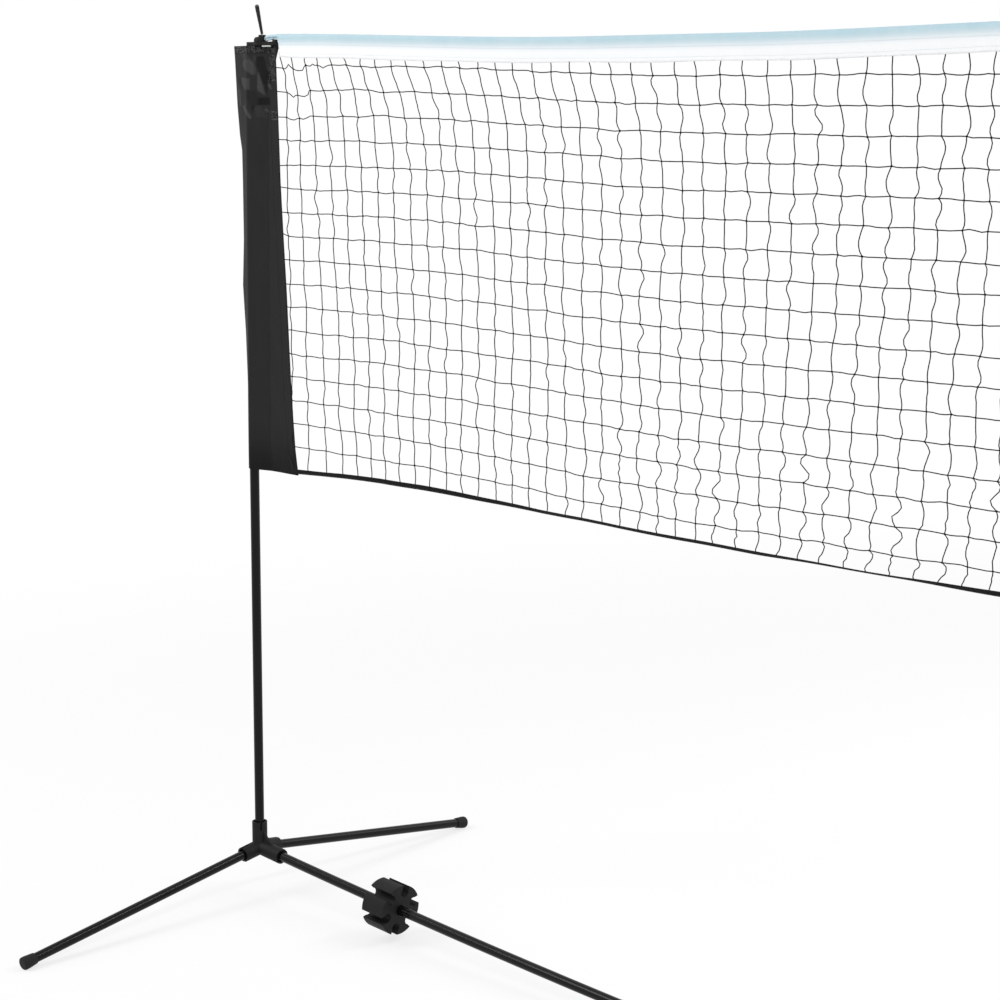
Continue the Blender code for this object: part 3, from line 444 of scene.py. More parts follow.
def wire(lines):
    # A mesh of edges, one open line for each list of points
    points = []
    edges = []
    for line in lines:
        start = len(points)
        points += [tuple(point) for point in line]
        edges += [(start + i, start + i + 1) for i in range(len(line) - 1)]
    mesh = bpy.data.meshes.new("wire")
    mesh.from_pydata(points, edges, [])
    return mesh


def linked(name, data):
    piece = bpy.data.objects.new(name, data)
    data.name = name
    bpy.context.scene.collection.objects.link(piece)
    return piece


def finalMesh(piece):
    # The mesh that the modifiers make
    deps = bpy.context.evaluated_depsgraph_get()
    return bpy.data.meshes.new_from_object(piece.evaluated_get(deps))


def grown(name, mesh, graph):
    # The tree's result as a plain mesh
    carrier = linked(name + "Wire", mesh)
    carrier.modifiers.new("shape", "NODES").node_group = graph.tree
    result = finalMesh(carrier)
    bpy.data.objects.remove(carrier)
    return linked(name, result)


def cleaned(mesh, merge=0, flatten=0):
    # Merges near points, then dissolves flat edges or turns the faces outwards
    shape = bmesh.new()
    shape.from_mesh(mesh)
    if merge:
        bmesh.ops.remove_doubles(shape, verts=shape.verts, dist=merge)
    if flatten:
        bmesh.ops.dissolve_limit(shape, angle_limit=flatten, verts=shape.verts,
                                 edges=shape.edges)
    else:
        bmesh.ops.recalc_face_normals(shape, faces=shape.faces)
    shape.to_mesh(mesh)
    shape.free()


def skin(name, rings, material, closedRing=True, capEnds=True, extra=None):
    # A loft through rings of equal length, with its cloth coordinates in metres as UV.
    # extra gives named numbers for each ring point.
    rings = np.array(rings, float)
    count, size = rings.shape[:2]
    faces = []
    for i in range(count - 1):
        for j in range(size if closedRing else size - 1):
            k = (j + 1) % size
            faces.append((i * size + j, i * size + k, (i + 1) * size + k, (i + 1) * size + j))
    if closedRing and capEnds:
        around = np.arange(size)
        faces.append(tuple(around[::-1]))
        faces.append(tuple(around + (count - 1) * size))
    mesh = bpy.data.meshes.new(name)
    mesh.from_pydata(rings.reshape(-1, 3).tolist(), [], faces)
    steps = np.linalg.norm(np.diff(rings.mean(axis=1), axis=0), axis=1)
    along = np.concatenate([[0], np.cumsum(steps)])
    span = np.linalg.norm(np.diff(rings, axis=1), axis=2)
    across = np.concatenate([np.zeros((count, 1)), np.cumsum(span, axis=1)], axis=1)
    corner = np.empty(len(mesh.loops), np.int32)
    mesh.loops.foreach_get("vertex_index", corner)
    uv = np.stack([across.reshape(-1), np.repeat(along, size)], axis=1)[corner]
    layer = mesh.uv_layers.new(name="UVMap")
    layer.data.foreach_set("uv", uv.astype(np.float32).ravel())
    for label, values in (extra or {}).items():
        attribute = mesh.attributes.new(label, "FLOAT", "POINT")
        attribute.data.foreach_set("value", np.array(values, np.float32).ravel())
    mesh.materials.append(material)
    mesh.shade_smooth()
    cleaned(mesh)
    return linked(name, mesh)


def thickened(piece, thickness):
    solid = piece.modifiers.new("cloth", "SOLIDIFY")
    solid.thickness = thickness
    solid.offset = 0


def wearing(piece, body, slot, *nodes):
    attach(piece, body)
    if nodes:
        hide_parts(*nodes)


def alongNet(reaches):
    # World places along the whole net, from the reaches of one half
    return np.concatenate([reaches - halfSpan, [0.0], halfSpan - reaches[::-1]])


# Lines of the frame, in an end frame


def legSlope():
    inner = base["capRadius"] - base["capFillet"]
    drop = base["hubHeight"] - base["capFillet"] + base["footFlat"]
    lean = math.atan2(inner, base["legReach"])
    return math.asin(drop / math.hypot(base["legReach"], inner)) - lean


def barLine(x):
    # The floor bar's axis at this world x, and the directions across it and up from it
    left = max(0, 1 - (halfSpan - abs(x)) / base["touchdown"])
    high = base["hubHeight"] - base["barRest"]
    fall = 2 * high * left / base["touchdown"]
    up = Vector((-math.copysign(fall, x), 0, 1)).normalized()
    return Vector((x, 0, base["barRest"] + high * left * left)), Vector((0, 1, 0)), up


def postX(height):
    lower = min(height, postJoint) - base["hubHeight"]
    upper = max(0, height - postJoint)
    return lower * math.tan(post["lowerLean"]) + upper * math.tan(post["upperLean"])


def aimed(origin, direction):
    z = Vector(direction).normalized()
    y = (Vector((0, 1, 0)) - z * z.y).normalized()
    rotation = Matrix((y.cross(z), y, z)).transposed().to_4x4()
    return Matrix.Translation(origin) @ rotation


def tubeProfile(low, high, spigot=False, stations=1):
    # Outside skin with eased ends, the spigot if there is one, and the bore
    radius, ease = tube["radius"], tube["ease"]
    bore = radius - tube["wall"]
    steps = [low + ease + (high - low - 2 * ease) * i / stations for i in range(stations + 1)]
    profile = [(bore + ease, low), (radius - ease, low)]
    profile += [(radius, s) for s in steps]
    if not spigot:
        profile += [(radius - ease, high), (bore + ease, high)]
        return profile + [(bore, s) for s in reversed(steps)]
    outer = tube["spigotRadius"]
    inner = outer - tube["wall"]
    tip = high + tube["spigotLength"]
    profile += [(radius - ease, high), (outer, high), (outer, tip - ease), (outer - ease, tip),
                (inner, tip), (inner, high - tube["swage"] / 2), (bore, high - tube["swage"])]
    return profile + [(bore, s) for s in reversed(steps) if s < high - 2 * tube["swage"]]


def turnedTube(name, profile, centre):
    # centre(s) gives the point on the axis, and two directions square to it
    rings = []
    for radius, s in profile:
        point, first, second = centre(s)
        ring = []
        for i in range(tube["sides"]):
            angle = fullTurn * i / tube["sides"]
            ring.append(point + radius * (first * math.cos(angle) + second * math.sin(angle)))
        rings.append(ring)
    rings.append(rings[0])
    piece = skin(name, rings, looks["tubePaint"], capEnds=False)
    cleaned(piece.data, 1e-6)
    piece.data.set_sharp_from_angle(angle=math.radians(40))
    return piece


def straightTube(name, matrix, profile, body, node):
    def centre(s):
        return matrix @ Vector((0, 0, s)), matrix.col[0].xyz, matrix.col[1].xyz
    wearing(turnedTube(name, profile, centre), body, "tube_paint", node)


def makeTubes():
    slope = math.tan(legSlope())
    splay = math.tan(base["legSplay"])
    hub = Vector((0, 0, base["hubHeight"]))
    legEnd = base["legReach"] + base["capFillet"] - 0.005 - tube["gap"]
    leg = tubeProfile(tube["start"], legEnd)
    joint = (postJoint - base["hubHeight"]) / math.cos(post["lowerLean"])
    lower = tubeProfile(tube["start"], joint, True)
    top = (post["top"] - postJoint) / math.cos(post["upperLean"]) - 2 * tube["gap"]
    upper = tubeProfile(1.3 * tube["gap"], top)
    for side, end in endFrames.items():
        for sign in (-1, 1):
            where = "front" if (sign < 0) == (side == "left") else "back"
            straightTube(f"{side}{where.capitalize()}LegTube",
                         end @ aimed(hub, (splay, sign, -slope)), leg,
                         f"{side}_{where}_foot", f"{side}_{where}_leg")
        straightTube(f"{side}LowerPostTube",
                     end @ aimed(hub, (math.tan(post["lowerLean"]), 0, 1)), lower,
                     f"{side}_post_foot", f"{side}_lower_post")
        start = (postX(postJoint), 0, postJoint)
        straightTube(f"{side}UpperPostTube",
                     end @ aimed(start, (math.tan(post["upperLean"]), 0, 1)), upper,
                     "net_set", f"{side}_upper_post")
    first = tube["start"] - halfSpan
    count = base["barSections"]
    length = -2 * first / count
    for i in range(count):
        low = first + length * i
        last = i == count - 1
        high = low + length - (0 if last else tube["gap"])
        piece = turnedTube(f"barTube{i + 1}", tubeProfile(low, high, not last, 10), barLine)
        wearing(piece, "base_frame", "tube_paint", f"bar_section_{i + 1}")


makeTubes()
print("tubes made")


# Moulded pieces: the CAD shape with its flat facets joined, its edges eased and its curves smooth

# Piece, body, look, slot, width of the eased edges, and the angle that stays smooth
mouldings = {
    "base_connector": ("BaseConnector", "base_frame", "mouldedBlack", "moulded_black", 0.0006, 20),
    "storage_clip": ("StorageClip", "{side}_clip", "mouldedBlack", "moulded_black", 0.0007, 20),
    "post_cap": ("PostCap", "net_set", "mouldedBlack", "moulded_black", 0.0005, 24),
    "cord_lock": ("CordLock", "net_set", "mouldedBlack", "moulded_black", 0.0003, 24),
    "cord_pull": ("CordPull", "net_set", "pullPlastic", "pull_plastic", 0, 40),
    "front_leg_cap": ("FrontLegCap", "{side}_front_foot", "capRubber", "cap_rubber", 0.0003, 35),
    "back_leg_cap": ("BackLegCap", "{side}_back_foot", "capRubber", "cap_rubber", 0.0003, 35),
}


def easedCopy(node, name, look, ease, facet):
    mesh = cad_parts[node].data.copy()
    mesh.materials.clear()
    mesh.materials.append(looks[look])
    cleaned(mesh, 2e-6, math.radians(0.6))
    piece = linked(name, mesh)
    if ease:
        bevel = piece.modifiers.new("eased edges", "BEVEL")
        bevel.width = ease
        bevel.segments = 2
        bevel.limit_method = "ANGLE"
        bevel.angle_limit = math.radians(facet + 4)
        eased = finalMesh(piece)
        piece.modifiers.remove(bevel)
        piece.data = eased
    piece.data.shade_smooth()
    piece.data.set_sharp_from_angle(angle=math.radians(facet))
    return piece


def makeMouldings():
    for side in endFrames:
        for node, (name, body, look, slot, ease, facet) in mouldings.items():
            source = f"{side}_{node}"
            piece = easedCopy(source, side + name, look, ease, facet)
            wearing(piece, body.format(side=side), slot, source)


makeMouldings()
print("mouldings made")


# Cords: the tension cord from one pull through the locks and the band to the other

cordSizes = dict(
    radius=0.0015, sides=12, lockPlace=0.0436, knobOffset=0.0042, lockHeight=0.0119,
    tailLean=math.radians(14.5), pullStart=0.0012, pullBore=0.012, channelFloor=0.0008,
    clearance=0.0003, lockExit=(0.0014, -0.0045), channelStart=(0.0038, 0.0017),
    channelEnd=(0.0068, 0.0015), bandLead=0.006, stations=60,
)
loopSizes = dict(
    radius=0.0011, sides=10, steps=48, halfLength=0.0105, halfWidth=0.0026, x=0.0664, y=-0.0064,
    below=0.0014, knot=0.0012,
)
bandSizes = dict(
    rise=0.0128, sag=0.0167, sagLength=0.8, lift=0.0087, liftStart=1.1, liftEnd=1.7, roll=0.0038,
    start=0.0586, plateEnd=0.0887, full=0.1000, gatherDip=0.0017, gatherFade=(0.0905, 0.0962),
)
# Height of the band's lower edge, by the distance from the hub
bandEdges = dict(
    at=[0.09, 0.15, 0.22, 0.29, 0.36, 0.44, 0.52, 0.60, 0.68, 0.76, 0.88, 1.01, 1.18, 1.27,
        1.35, 1.44, 1.50, 1.60, 1.90, 2.30, 2.90],
    height=metres([15276, 15247, 15229, 15215, 15193, 15166, 15143, 15127, 15113, 15107, 15097,
                   15100, 15104, 15117, 15132, 15158, 15178, 15180, 15176, 15174, 15175]),
)


def bandTop(reach):
    sag = bandSizes["sag"] * smoothStep(reach, 0, bandSizes["sagLength"])
    lift = bandSizes["lift"] * smoothStep(reach, bandSizes["liftStart"], bandSizes["liftEnd"])
    return post["plateTop"] + bandSizes["rise"] - sag + lift


def cordHeight(reach):
    gathered = bandSizes["plateEnd"] - bandSizes["start"]
    left = max(0, 1 - (reach - bandSizes["start"]) / gathered)
    return bandTop(reach) - bandSizes["roll"] - bandSizes["gatherDip"] * left * left


def throughPoints(points, steps):
    # A smooth curve through the points
    padded = [2 * points[0] - points[1], *points, 2 * points[-1] - points[-2]]
    route = []
    for a, b, c, d in zip(padded, padded[1:], padded[2:], padded[3:]):
        for i in range(steps):
            t = i / steps
            cubic = (2 * b) + (c - a) * t + (2 * a - 5 * b + 4 * c - d) * t**2
            route.append(0.5 * (cubic + (3 * b - 3 * c + d - a) * t**3))
    return [*route, points[-1]]


def cordEnd():
    # Guide points from inside the pull, down through the lock and along the plate's channel
    knob = cordSizes["lockPlace"] + cordSizes["knobOffset"]
    out = Vector((knob, 0, post["plateTop"] + cordSizes["lockHeight"]))
    axis = Vector((-math.sin(cordSizes["tailLean"]), 0, math.cos(cordSizes["tailLean"])))
    tip = cordSizes["pullStart"] + cordSizes["pullBore"] - 2 * tube["gap"]
    deep = (post["plateTop"] + cordSizes["channelFloor"] + cordSizes["clearance"]
            + cordSizes["radius"])
    points = [out + axis * tip, out + axis * tip / 2, out]
    for key, level in (("lockExit", out.z), ("channelStart", deep), ("channelEnd", deep)):
        x, rise = cordSizes[key]
        points.append(Vector((out.x + x, 0, level + rise)))
    for reach in (bandSizes["start"], bandSizes["start"] + cordSizes["bandLead"]):
        points.append(Vector((reach, 0, cordHeight(reach))))
    return points


def makeCords():
    tree = cordTree("braidedCord", looks["cordWhite"], cordSizes["radius"], cordSizes["sides"])
    left = [Vector((p.x - halfSpan, 0, p.z)) for p in throughPoints(cordEnd(), 5)]
    for reach in np.linspace(0.075, halfSpan, cordSizes["stations"])[:-1]:
        left.append(Vector((reach - halfSpan, 0, cordHeight(reach))))
    right = [Vector((-p.x, 0, p.z)) for p in reversed(left)]
    line = [*left, Vector((0, 0, cordHeight(halfSpan))), *right]
    wearing(grown("tensionCord", wire([line]), tree), "net_set", "cord_white", "tension_cord")


def joinedPieces(name, pieces):
    # One mesh from finished pieces with the same look
    shape = bmesh.new()
    for piece in pieces:
        shape.from_mesh(piece.data)
    mesh = bpy.data.meshes.new(name)
    shape.to_mesh(mesh)
    shape.free()
    mesh.materials.append(pieces[0].data.materials[0])
    for piece in pieces:
        bpy.data.objects.remove(piece)
    return linked(name, mesh)


def makeLoops():
    # The white loop tied under each plate, with its knot
    tree = cordTree("thinCord", looks["cordWhite"], loopSizes["radius"], loopSizes["sides"])
    knots = knotTree("loopKnot", looks["cordWhite"], loopSizes["knot"], 5)
    for side, end in endFrames.items():
        line = []
        for i in range(loopSizes["steps"] + 1):
            angle = fullTurn * i / loopSizes["steps"]
            x = loopSizes["x"] + loopSizes["halfLength"] * math.cos(angle)
            y = loopSizes["y"] + loopSizes["halfWidth"] * math.sin(angle)
            line.append(end @ Vector((x, y, post["top"] - loopSizes["below"])))
        loop = grown(f"{side}LoopCord", wire([line]), tree)
        knot = grown(f"{side}LoopKnot", wire([line[:1]]), knots)
        piece = joinedPieces(f"{side}CornerLoop", [loop, knot])
        wearing(piece, "net_set", "cord_white", f"{side}_corner_loop")


makeCords()
makeLoops()
print("cords made")


# Head band: cloth folded over the cord, stitched under it, and hemmed at its lower edge

bandCloth = dict(
    thickness=0.0008, channelHeight=0.0165, channelHalf=0.0040, wallHalf=0.0013, hemHeight=0.009,
    hemHalf=0.0022, step=0.007, stitchPitch=0.0042, stitchLength=0.0031, stitchWidth=0.0006,
    hemLine=0.0068, seamLine=0.0172, wave=0.0011, ripple=0.0005, edgeWave=0.0008,
)
# Distance from the hub, the roll's share and the depth where the end is gathered
bandGathers = dict(at=[0.0586, 0.0721, 0.0770, 0.0877, 0.0942, 0.1000],
                   roll=[0.72, 0.85, 0.88, 0.94, 0.98, 1.0],
                   drop=[0.0088, 0.0088, 0.0074, 0.0074, 0.0074, 0.0080])
# Creases across the band: distance from the hub in millimetres, depth and width in tenths of
# a millimetre, and slant
creaseRows = [
    (122, 7, 35, -0.10), (172, 6, 40, 0.20), (243, 5, 50, -0.15), (560, 6, 40, 0.25),
    (735, 8, 40, 0.30), (905, 6, 40, 0.25), (1098, 9, 35, 0.32), (1168, 10, 35, -0.28),
    (1232, 8, 30, 0.34), (1305, 12, 35, 0.35), (1372, 8, 30, 0.15), (1428, 11, 30, 0.42),
    (1497, 12, 30, 0.38),
]


# Past the traced ones, creases are drawn at random between these places and sizes
looseCreases = dict(
    seed=11, first=-1.33, last=2.75, gap=(0.05, 0.16), depth=(0.0004, 0.0012),
    width=(0.003, 0.005), slant=(-0.4, 0.4),
)


def allCreases():
    pick = np.random.default_rng(looseCreases["seed"])
    rows = [(reach / 1000 - halfSpan, depth / 10000, width / 10000, slant)
            for reach, depth, width, slant in creaseRows]
    x = looseCreases["first"]
    while x < looseCreases["last"]:
        sizes = [pick.uniform(*looseCreases[key]) for key in ("depth", "width", "slant")]
        rows.append((x, *sizes))
        x += pick.uniform(*looseCreases["gap"])
    return rows


def bandPath(drop, roll, fullness):
    # Half of the section, from the roll's top down the front to the hem: (half width, below top)
    channel = min(bandCloth["channelHeight"], drop * 0.42)
    wide = bandCloth["channelHalf"] * roll
    wall = bandCloth["wallHalf"]
    hem = drop - bandCloth["hemHeight"]
    points = []
    for i in range(8):
        angle = math.pi / 2 * i / 7
        points.append((wide * math.sin(angle), wide * (1 - math.cos(angle))))
    for i in range(1, 7):
        share = i / 6
        width = wide + (wall - wide) * (3 * share**2 - 2 * share**3)
        points.append((width, wide + (channel - wide) * share))
    for i in range(1, 8):
        below = channel + (drop - channel) * (i / 7)
        width = wall + (bandCloth["hemHalf"] - wall) * smoothStep(below, hem - 0.002, hem)
        points.append((width * fullness + wall * (1 - fullness), below))
    return points


def makeBand():
    start, full = bandSizes["start"], bandSizes["full"]
    far = np.arange(full, halfSpan, bandCloth["step"])[1:]
    creases = allCreases()
    thick = bandCloth["thickness"]
    rings = []
    below = []
    lines = {(level, sign): [] for level in ("hem", "seam") for sign in (-1, 1)}
    for x in alongNet(np.array([*np.linspace(start, full, 12), *far])):
        reach = halfSpan - abs(x)
        roll = readOff(bandGathers, reach, "roll")
        gathered = smoothStep(reach, *bandSizes["gatherFade"])
        endDrop = readOff(bandGathers, reach, "drop")
        fullDrop = bandTop(reach) - readOff(bandEdges, reach, "height")
        drop = endDrop + (fullDrop - endDrop) * gathered
        top = cordHeight(reach) + bandCloth["channelHalf"] * roll - 0.0002
        half = bandPath(drop, roll, gathered)
        ring = []
        for width, down in [(-w, b) for w, b in reversed(half)] + half[1:]:
            shift = 0.0
            for place, depth, spread, slant in creases:
                off = (x - place - slant * (down - 0.02)) / spread
                if abs(off) < 4:
                    shift += depth * math.exp(-off * off / 2) * smoothStep(down, 0.004, 0.02)
            wave = bandCloth["wave"] * math.sin(x * 9.3) * math.sin(x * 3.1 + 1.2)
            wave += bandCloth["ripple"] * math.sin(x * 41.0 + 0.7)
            sway = (shift + wave * smoothStep(down, 0.006, 0.04)) * gathered
            edge = bandCloth["edgeWave"] * math.sin(x * 23.0) * smoothStep(down, 0.03, 0.045)
            ring.append((x, width - sway, top - down + edge * gathered))
        depths = [b for _, b in reversed(half)] + [b for _, b in half[1:]]
        rings.append(ring)
        below.append(depths)
        if gathered > 0.99:
            # Where the two rows of stitches cross this section, in front and behind
            middle = len(half) - 1
            for sign, part in ((-1, slice(middle, None, -1)), (1, slice(middle, None))):
                column = np.array(ring[part])
                for level, down in (("hem", drop - bandCloth["hemLine"]),
                                    ("seam", bandCloth["seamLine"])):
                    y, z = (np.interp(down, depths[part], column[:, i]) for i in (1, 2))
                    lines[level, sign].append((x, y + sign * (thick * 0.62), z))
    band = skin("headBandCloth", rings, looks["bandCloth"], closedRing=False,
                extra={"belowTop": below})
    thickened(band, thick)
    tree = stitchTree("bandStitch", looks["bandThread"], bandCloth)
    stitches = grown("headBandStitches", wire(lines.values()), tree)
    wearing(band, "net_set", "band_white", "head_band")
    wearing(stitches, "net_set", "band_white")
    # The flat width is the way round a section out in the full band
    width = float(np.linalg.norm(np.diff(np.array(rings[200]), axis=0), axis=1).sum())


makeBand()
print("head band made")


# Netting: knotted twine, with the columns' lean and the rows' sag that the cord pulls in

netSizes = dict(
    columns=145, firstColumn=-18, rows=17, firstRow=-8, rowPitch=0.0410, level=1.1800, fall=0.0185,
    fallStart=0.35, fallEnd=1.05, twine=0.00088, twineSides=5, knot=0.00165, knotSeed=3, seed=4,
    steps=6, rowSteps=4, sway=0.0014, swayBoth=0.0012, jitter=0.0008, tuck=0.006, intoBand=0.009,
    slantSpread=0.0028, driftSpread=0.0022, sweep=0.0062, kink=0.00032, rowKink=0.00022,
    bulge=0.0012, rowBulge=0.0010, sweepStart=(1.0, 1.16), sweepEnd=(1.55, 1.9),
    slackFade=(0.5, 1.1), sewnRise=(0.0012, 0.0016),
)
# Column number and its distance from the hub at the level row
columnPlaces = dict(
    at=[-18, -17, -16, -15, -12, -9, -6, -3, 0, 3, 6, 9, 12, 15, 54],
    reach=metres([1103, 1475, 1878, 2265, 3412, 4559, 5705, 6783, 7943, 9112, 10305, 11477,
                  12662, 13887, 29000]),
)
# How far each column's knots stand off its place at the level row, for some rows and columns,
# in tenths of a millimetre as all bare whole numbers below
leanRows = [-8, -7, -6, -4, -2, 0, 2, 4, 6, 8]
leanColumns = [-18, -17, -16, -15, -12, -9, -6, -3, 0, 3, 6, 9, 12, 15, 26]
leanTable = np.array([
    [-90, 10, -10, -30, -20, 0, 15, 13, 15, 20],
    [-197, -93, -60, -45, -30, 0, 45, 50, 45, 70],
    [-290, -165, -95, -55, -32, 0, 70, 75, 65, 110],
    [-359, -215, -124, -66, -34, 0, 85, 93, 76, 137],
    [-434, -255, -130, -47, -36, 0, 60, 72, 35, 73],
    [-479, -290, -161, -30, -15, 0, 39, 31, -1, 15],
    [-409, -255, -145, -82, -64, 0, -3, -7, -33, -14],
    [-302, -170, -66, -1, 21, 0, 66, 67, 46, 47],
    [-267, -150, -57, -11, -5, 0, 26, 32, 58, 42],
    [-216, -125, -50, 19, 10, 0, 11, 21, -29, 20],
    [-172, -100, -46, -12, 3, 0, -4, -8, -50, -75],
    [-80, -30, 11, 31, -2, 0, -16, -32, -68, -68],
    [-17, 25, 59, 50, 42, 0, -26, -37, -64, -93],
    [55, 54, 53, 52, 18, 0, -51, -70, -91, -130],
    [0, 0, 0, 0, 0, 0, 0, 0, 0, 0],
]) / 10000
# Where the crumpled top rows run off the straight line: percent of the mesh and rise
crumples = {
    (-18, -8): [(20, -12), (38, 15), (55, 68), (75, 30)],
    (-17, -8): [(25, -42), (50, -62), (75, -70), (88, -18)],
    (-16, -8): [(20, -12), (40, -16), (60, 18), (80, -6)],
    (-15, -8): [(20, -18), (40, -50), (60, -22), (80, -4)],
    (-18, -7): [(30, -18), (60, -55), (80, -12)],
    (-17, -7): [(30, -40), (55, -66), (80, -58), (90, 4)],
    (-16, -7): [(20, -6), (50, -10), (80, -12)],
    (-18, -6): [(30, -30), (60, -36), (80, -12)],
    (-17, -6): [(30, -26), (60, -8), (80, 10)],
    (-18, -5): [(30, -20), (70, -6)],
    (-17, -5): [(30, -22), (60, -4), (80, 12)],
}
# How far single knots stand above their row
knotLifts = {
    (-18, -8): -12, (-17, -8): -10, (-16, -8): 42, (-15, -8): 40, (-14, -8): 45, (-13, -8): 40,
    (-12, -8): 20, (-17, -7): -38, (-16, -7): 28, (-15, -7): 30, (-14, -7): 52, (-13, -7): 58,
    (-12, -7): 50, (-17, -6): -30, (-16, -6): 10, (-14, -6): 20, (-12, -6): 30, (-11, -6): 35,
}
# The tape's middle height and its seen width, by the distance from the hub
tapeRows = dict(
    at=[0.10, 0.131, 0.184, 0.236, 0.337, 0.435, 0.529, 0.620, 0.708, 0.794, 0.876, 0.996,
        1.146, 1.218, 1.322, 1.389, 1.454, 1.517, 1.56, 1.75, 2.1, 2.5, 2.9],
    middle=metres([8056, 8076, 8105, 8128, 8158, 8163, 8152, 8131, 8103, 8093, 8065, 8047,
                   8032, 8031, 8029, 8029, 8034, 8039, 8042, 8046, 8044, 8040, 8038]),
    seen=metres([85, 78, 70, 75, 81, 84, 75, 62, 48, 45, 42, 46, 44, 30, 19, 22, 44, 62, 70,
                 85, 50, 80, 66]),
)
# The sleeve's two edges from the hub, by the height over its lower edge
sleeveEdges = dict(
    at=[up + post["sleeveBottom"] for up in metres([0, 440, 1130, 1670, 2480, 3280, 4090, 5130,
                                                    5660, 5920, 6440, 7220, 7457])],
    left=metres([-98, -78, -64, -80, -105, -158, -110, -105, -110, -160, -212, -254, -272]),
    right=metres([1240, 1170, 1115, 1080, 1040, 1002, 950, 890, 875, 868, 850, 823, 915]),
)


def netKnots():
    # World places of all knots, as [column, row, xyz]
    pick = np.random.default_rng(netSizes["seed"])
    count, rows = netSizes["columns"], netSizes["rows"]
    knots = np.zeros((count, rows, 3))
    for i in range(count):
        number = min(i, count - 1 - i) + netSizes["firstColumn"]
        place = readOff(columnPlaces, number, "reach")
        leans = [np.interp(number, leanColumns, lean) for lean in leanTable.T]
        for j in range(rows):
            row = j + netSizes["firstRow"]
            reach = place + float(np.interp(row, leanRows, leans))
            fall = netSizes["fall"] * smoothStep(reach, netSizes["fallStart"], netSizes["fallEnd"])
            z = netSizes["level"] - fall - netSizes["rowPitch"] * row
            z += knotLifts.get((number, row), 0) / 10000
            x = reach - halfSpan
            knots[i, j] = (x if i <= count // 2 else -x, 0, z)
    loose = pick.normal(0, netSizes["jitter"], (count, rows, 3))
    loose[:, :, 1] *= 0.6
    return knots + loose


def swayed(start, end, first, second, axis, kinks, out):
    # A twine between two knots, bowed along one axis and a little out of the net's plane,
    # with one step and its small kink for each number in kinks
    line = []
    for i in range(len(kinks)):
        t = i / len(kinks)
        point = start + (end - start) * t
        point[axis] += first * math.sin(math.pi * t) + second * math.sin(2 * math.pi * t)
        point[1] += out * math.sin(math.pi * t)
        if i:
            point[axis] += kinks[-i]
        line.append(point)
    return line


def netColumns(pick, knots):
    # The upright twines, from inside the band down to the tape
    count, rows, steps = (netSizes[key] for key in ("columns", "rows", "steps"))
    sway, both = netSizes["sway"], netSizes["swayBoth"]
    bend = pick.normal(0, 1, (count, rows + 1))
    columns = []
    for i in range(count):
        top, foot = knots[i, 0], knots[i, -1]
        reach, footReach = halfSpan - abs(top[0]), halfSpan - abs(foot[0])
        roof = readOff(bandEdges, reach, "height") + netSizes["intoBand"]
        share = (roof - top[2]) / netSizes["rowPitch"]
        slant = (top - knots[i, 1])[0] * 0.8 * share + pick.normal(0, netSizes["slantSpread"])
        low = readOff(tapeRows, footReach, "middle") - 0.0010
        swept = smoothStep(reach, *netSizes["sweepStart"])
        swept *= 1 - smoothStep(reach, *netSizes["sweepEnd"])
        drift = pick.normal(0, netSizes["driftSpread"])
        drift += math.copysign(netSizes["sweep"], foot[0]) * swept
        points = [np.array((top[0] + slant, 0, roof)), *knots[i],
                  np.array((foot[0] + drift, 0, low))]
        slack = 1.0 + 0.8 * smoothStep(footReach, *netSizes["slackFade"])
        line = []
        for j in range(rows + 1):
            turn = 1 if (i + j) % 2 else -1
            # The lowest meshes hang slacker, away from the posts
            calm = 1.0 if j else 0.6
            calm += 0.75 * smoothStep(j, rows - 5, rows - 2) * (slack - 1) / 0.8
            first = calm * (turn * sway * 0.35 * slack + bend[i, j] * sway * 0.8 * slack)
            second = calm * pick.normal(0, both) * slack
            if j == rows:
                # The slack foot of the net curls on to the tape
                first = pick.normal(0, 0.0012 + 0.0016 * (slack - 1)) - drift * 0.60
                second = pick.normal(0, 0.0010 + 0.0012 * (slack - 1)) - drift * 0.30
            kinks = pick.normal(0, netSizes["kink"] * calm * calm, steps)
            line += swayed(points[j], points[j + 1], first, second, 0, kinks,
                           pick.normal(0, netSizes["bulge"]))
        columns.append([*line, points[-1]])
    return columns


def netRows(pick, knots):
    # The level twines, which are sewn into the sleeves' edges
    count = netSizes["columns"]
    across = []
    for j in range(netSizes["rows"]):
        line = []
        for i in range(count - 1):
            number = min(i, count - 2 - i) + netSizes["firstColumn"]
            crumple = crumples.get((number, j + netSizes["firstRow"]))
            start, end = knots[i, j], knots[i + 1, j]
            if crumple:
                marks = [(share / 100, rise / 10000) for share, rise in crumple]
                if i > count // 2:
                    marks = [(1 - share, rise) for share, rise in reversed(marks)]
                line.append(start)
                line += [start + (end - start) * share + (0, 0, rise) for share, rise in marks]
                continue
            first, second = pick.normal(-0.0003, 0.0005), pick.normal(0, 0.0004)
            kinks = pick.normal(0, netSizes["rowKink"], netSizes["rowSteps"])
            line += swayed(start, end, first, second, 2, kinks,
                           pick.normal(0, netSizes["rowBulge"]))
        ends = []
        for knot, sign in ((knots[0, j], -1), (knots[-1, j], 1)):
            edge = halfSpan - readOff(sleeveEdges, knot[2], "right") + netSizes["tuck"]
            rise = pick.normal(*netSizes["sewnRise"])
            ends.append(np.array((sign * edge, 0, knot[2] + rise)))
        across.append([ends[0], *line, knots[-1, j], ends[1]])
    return across


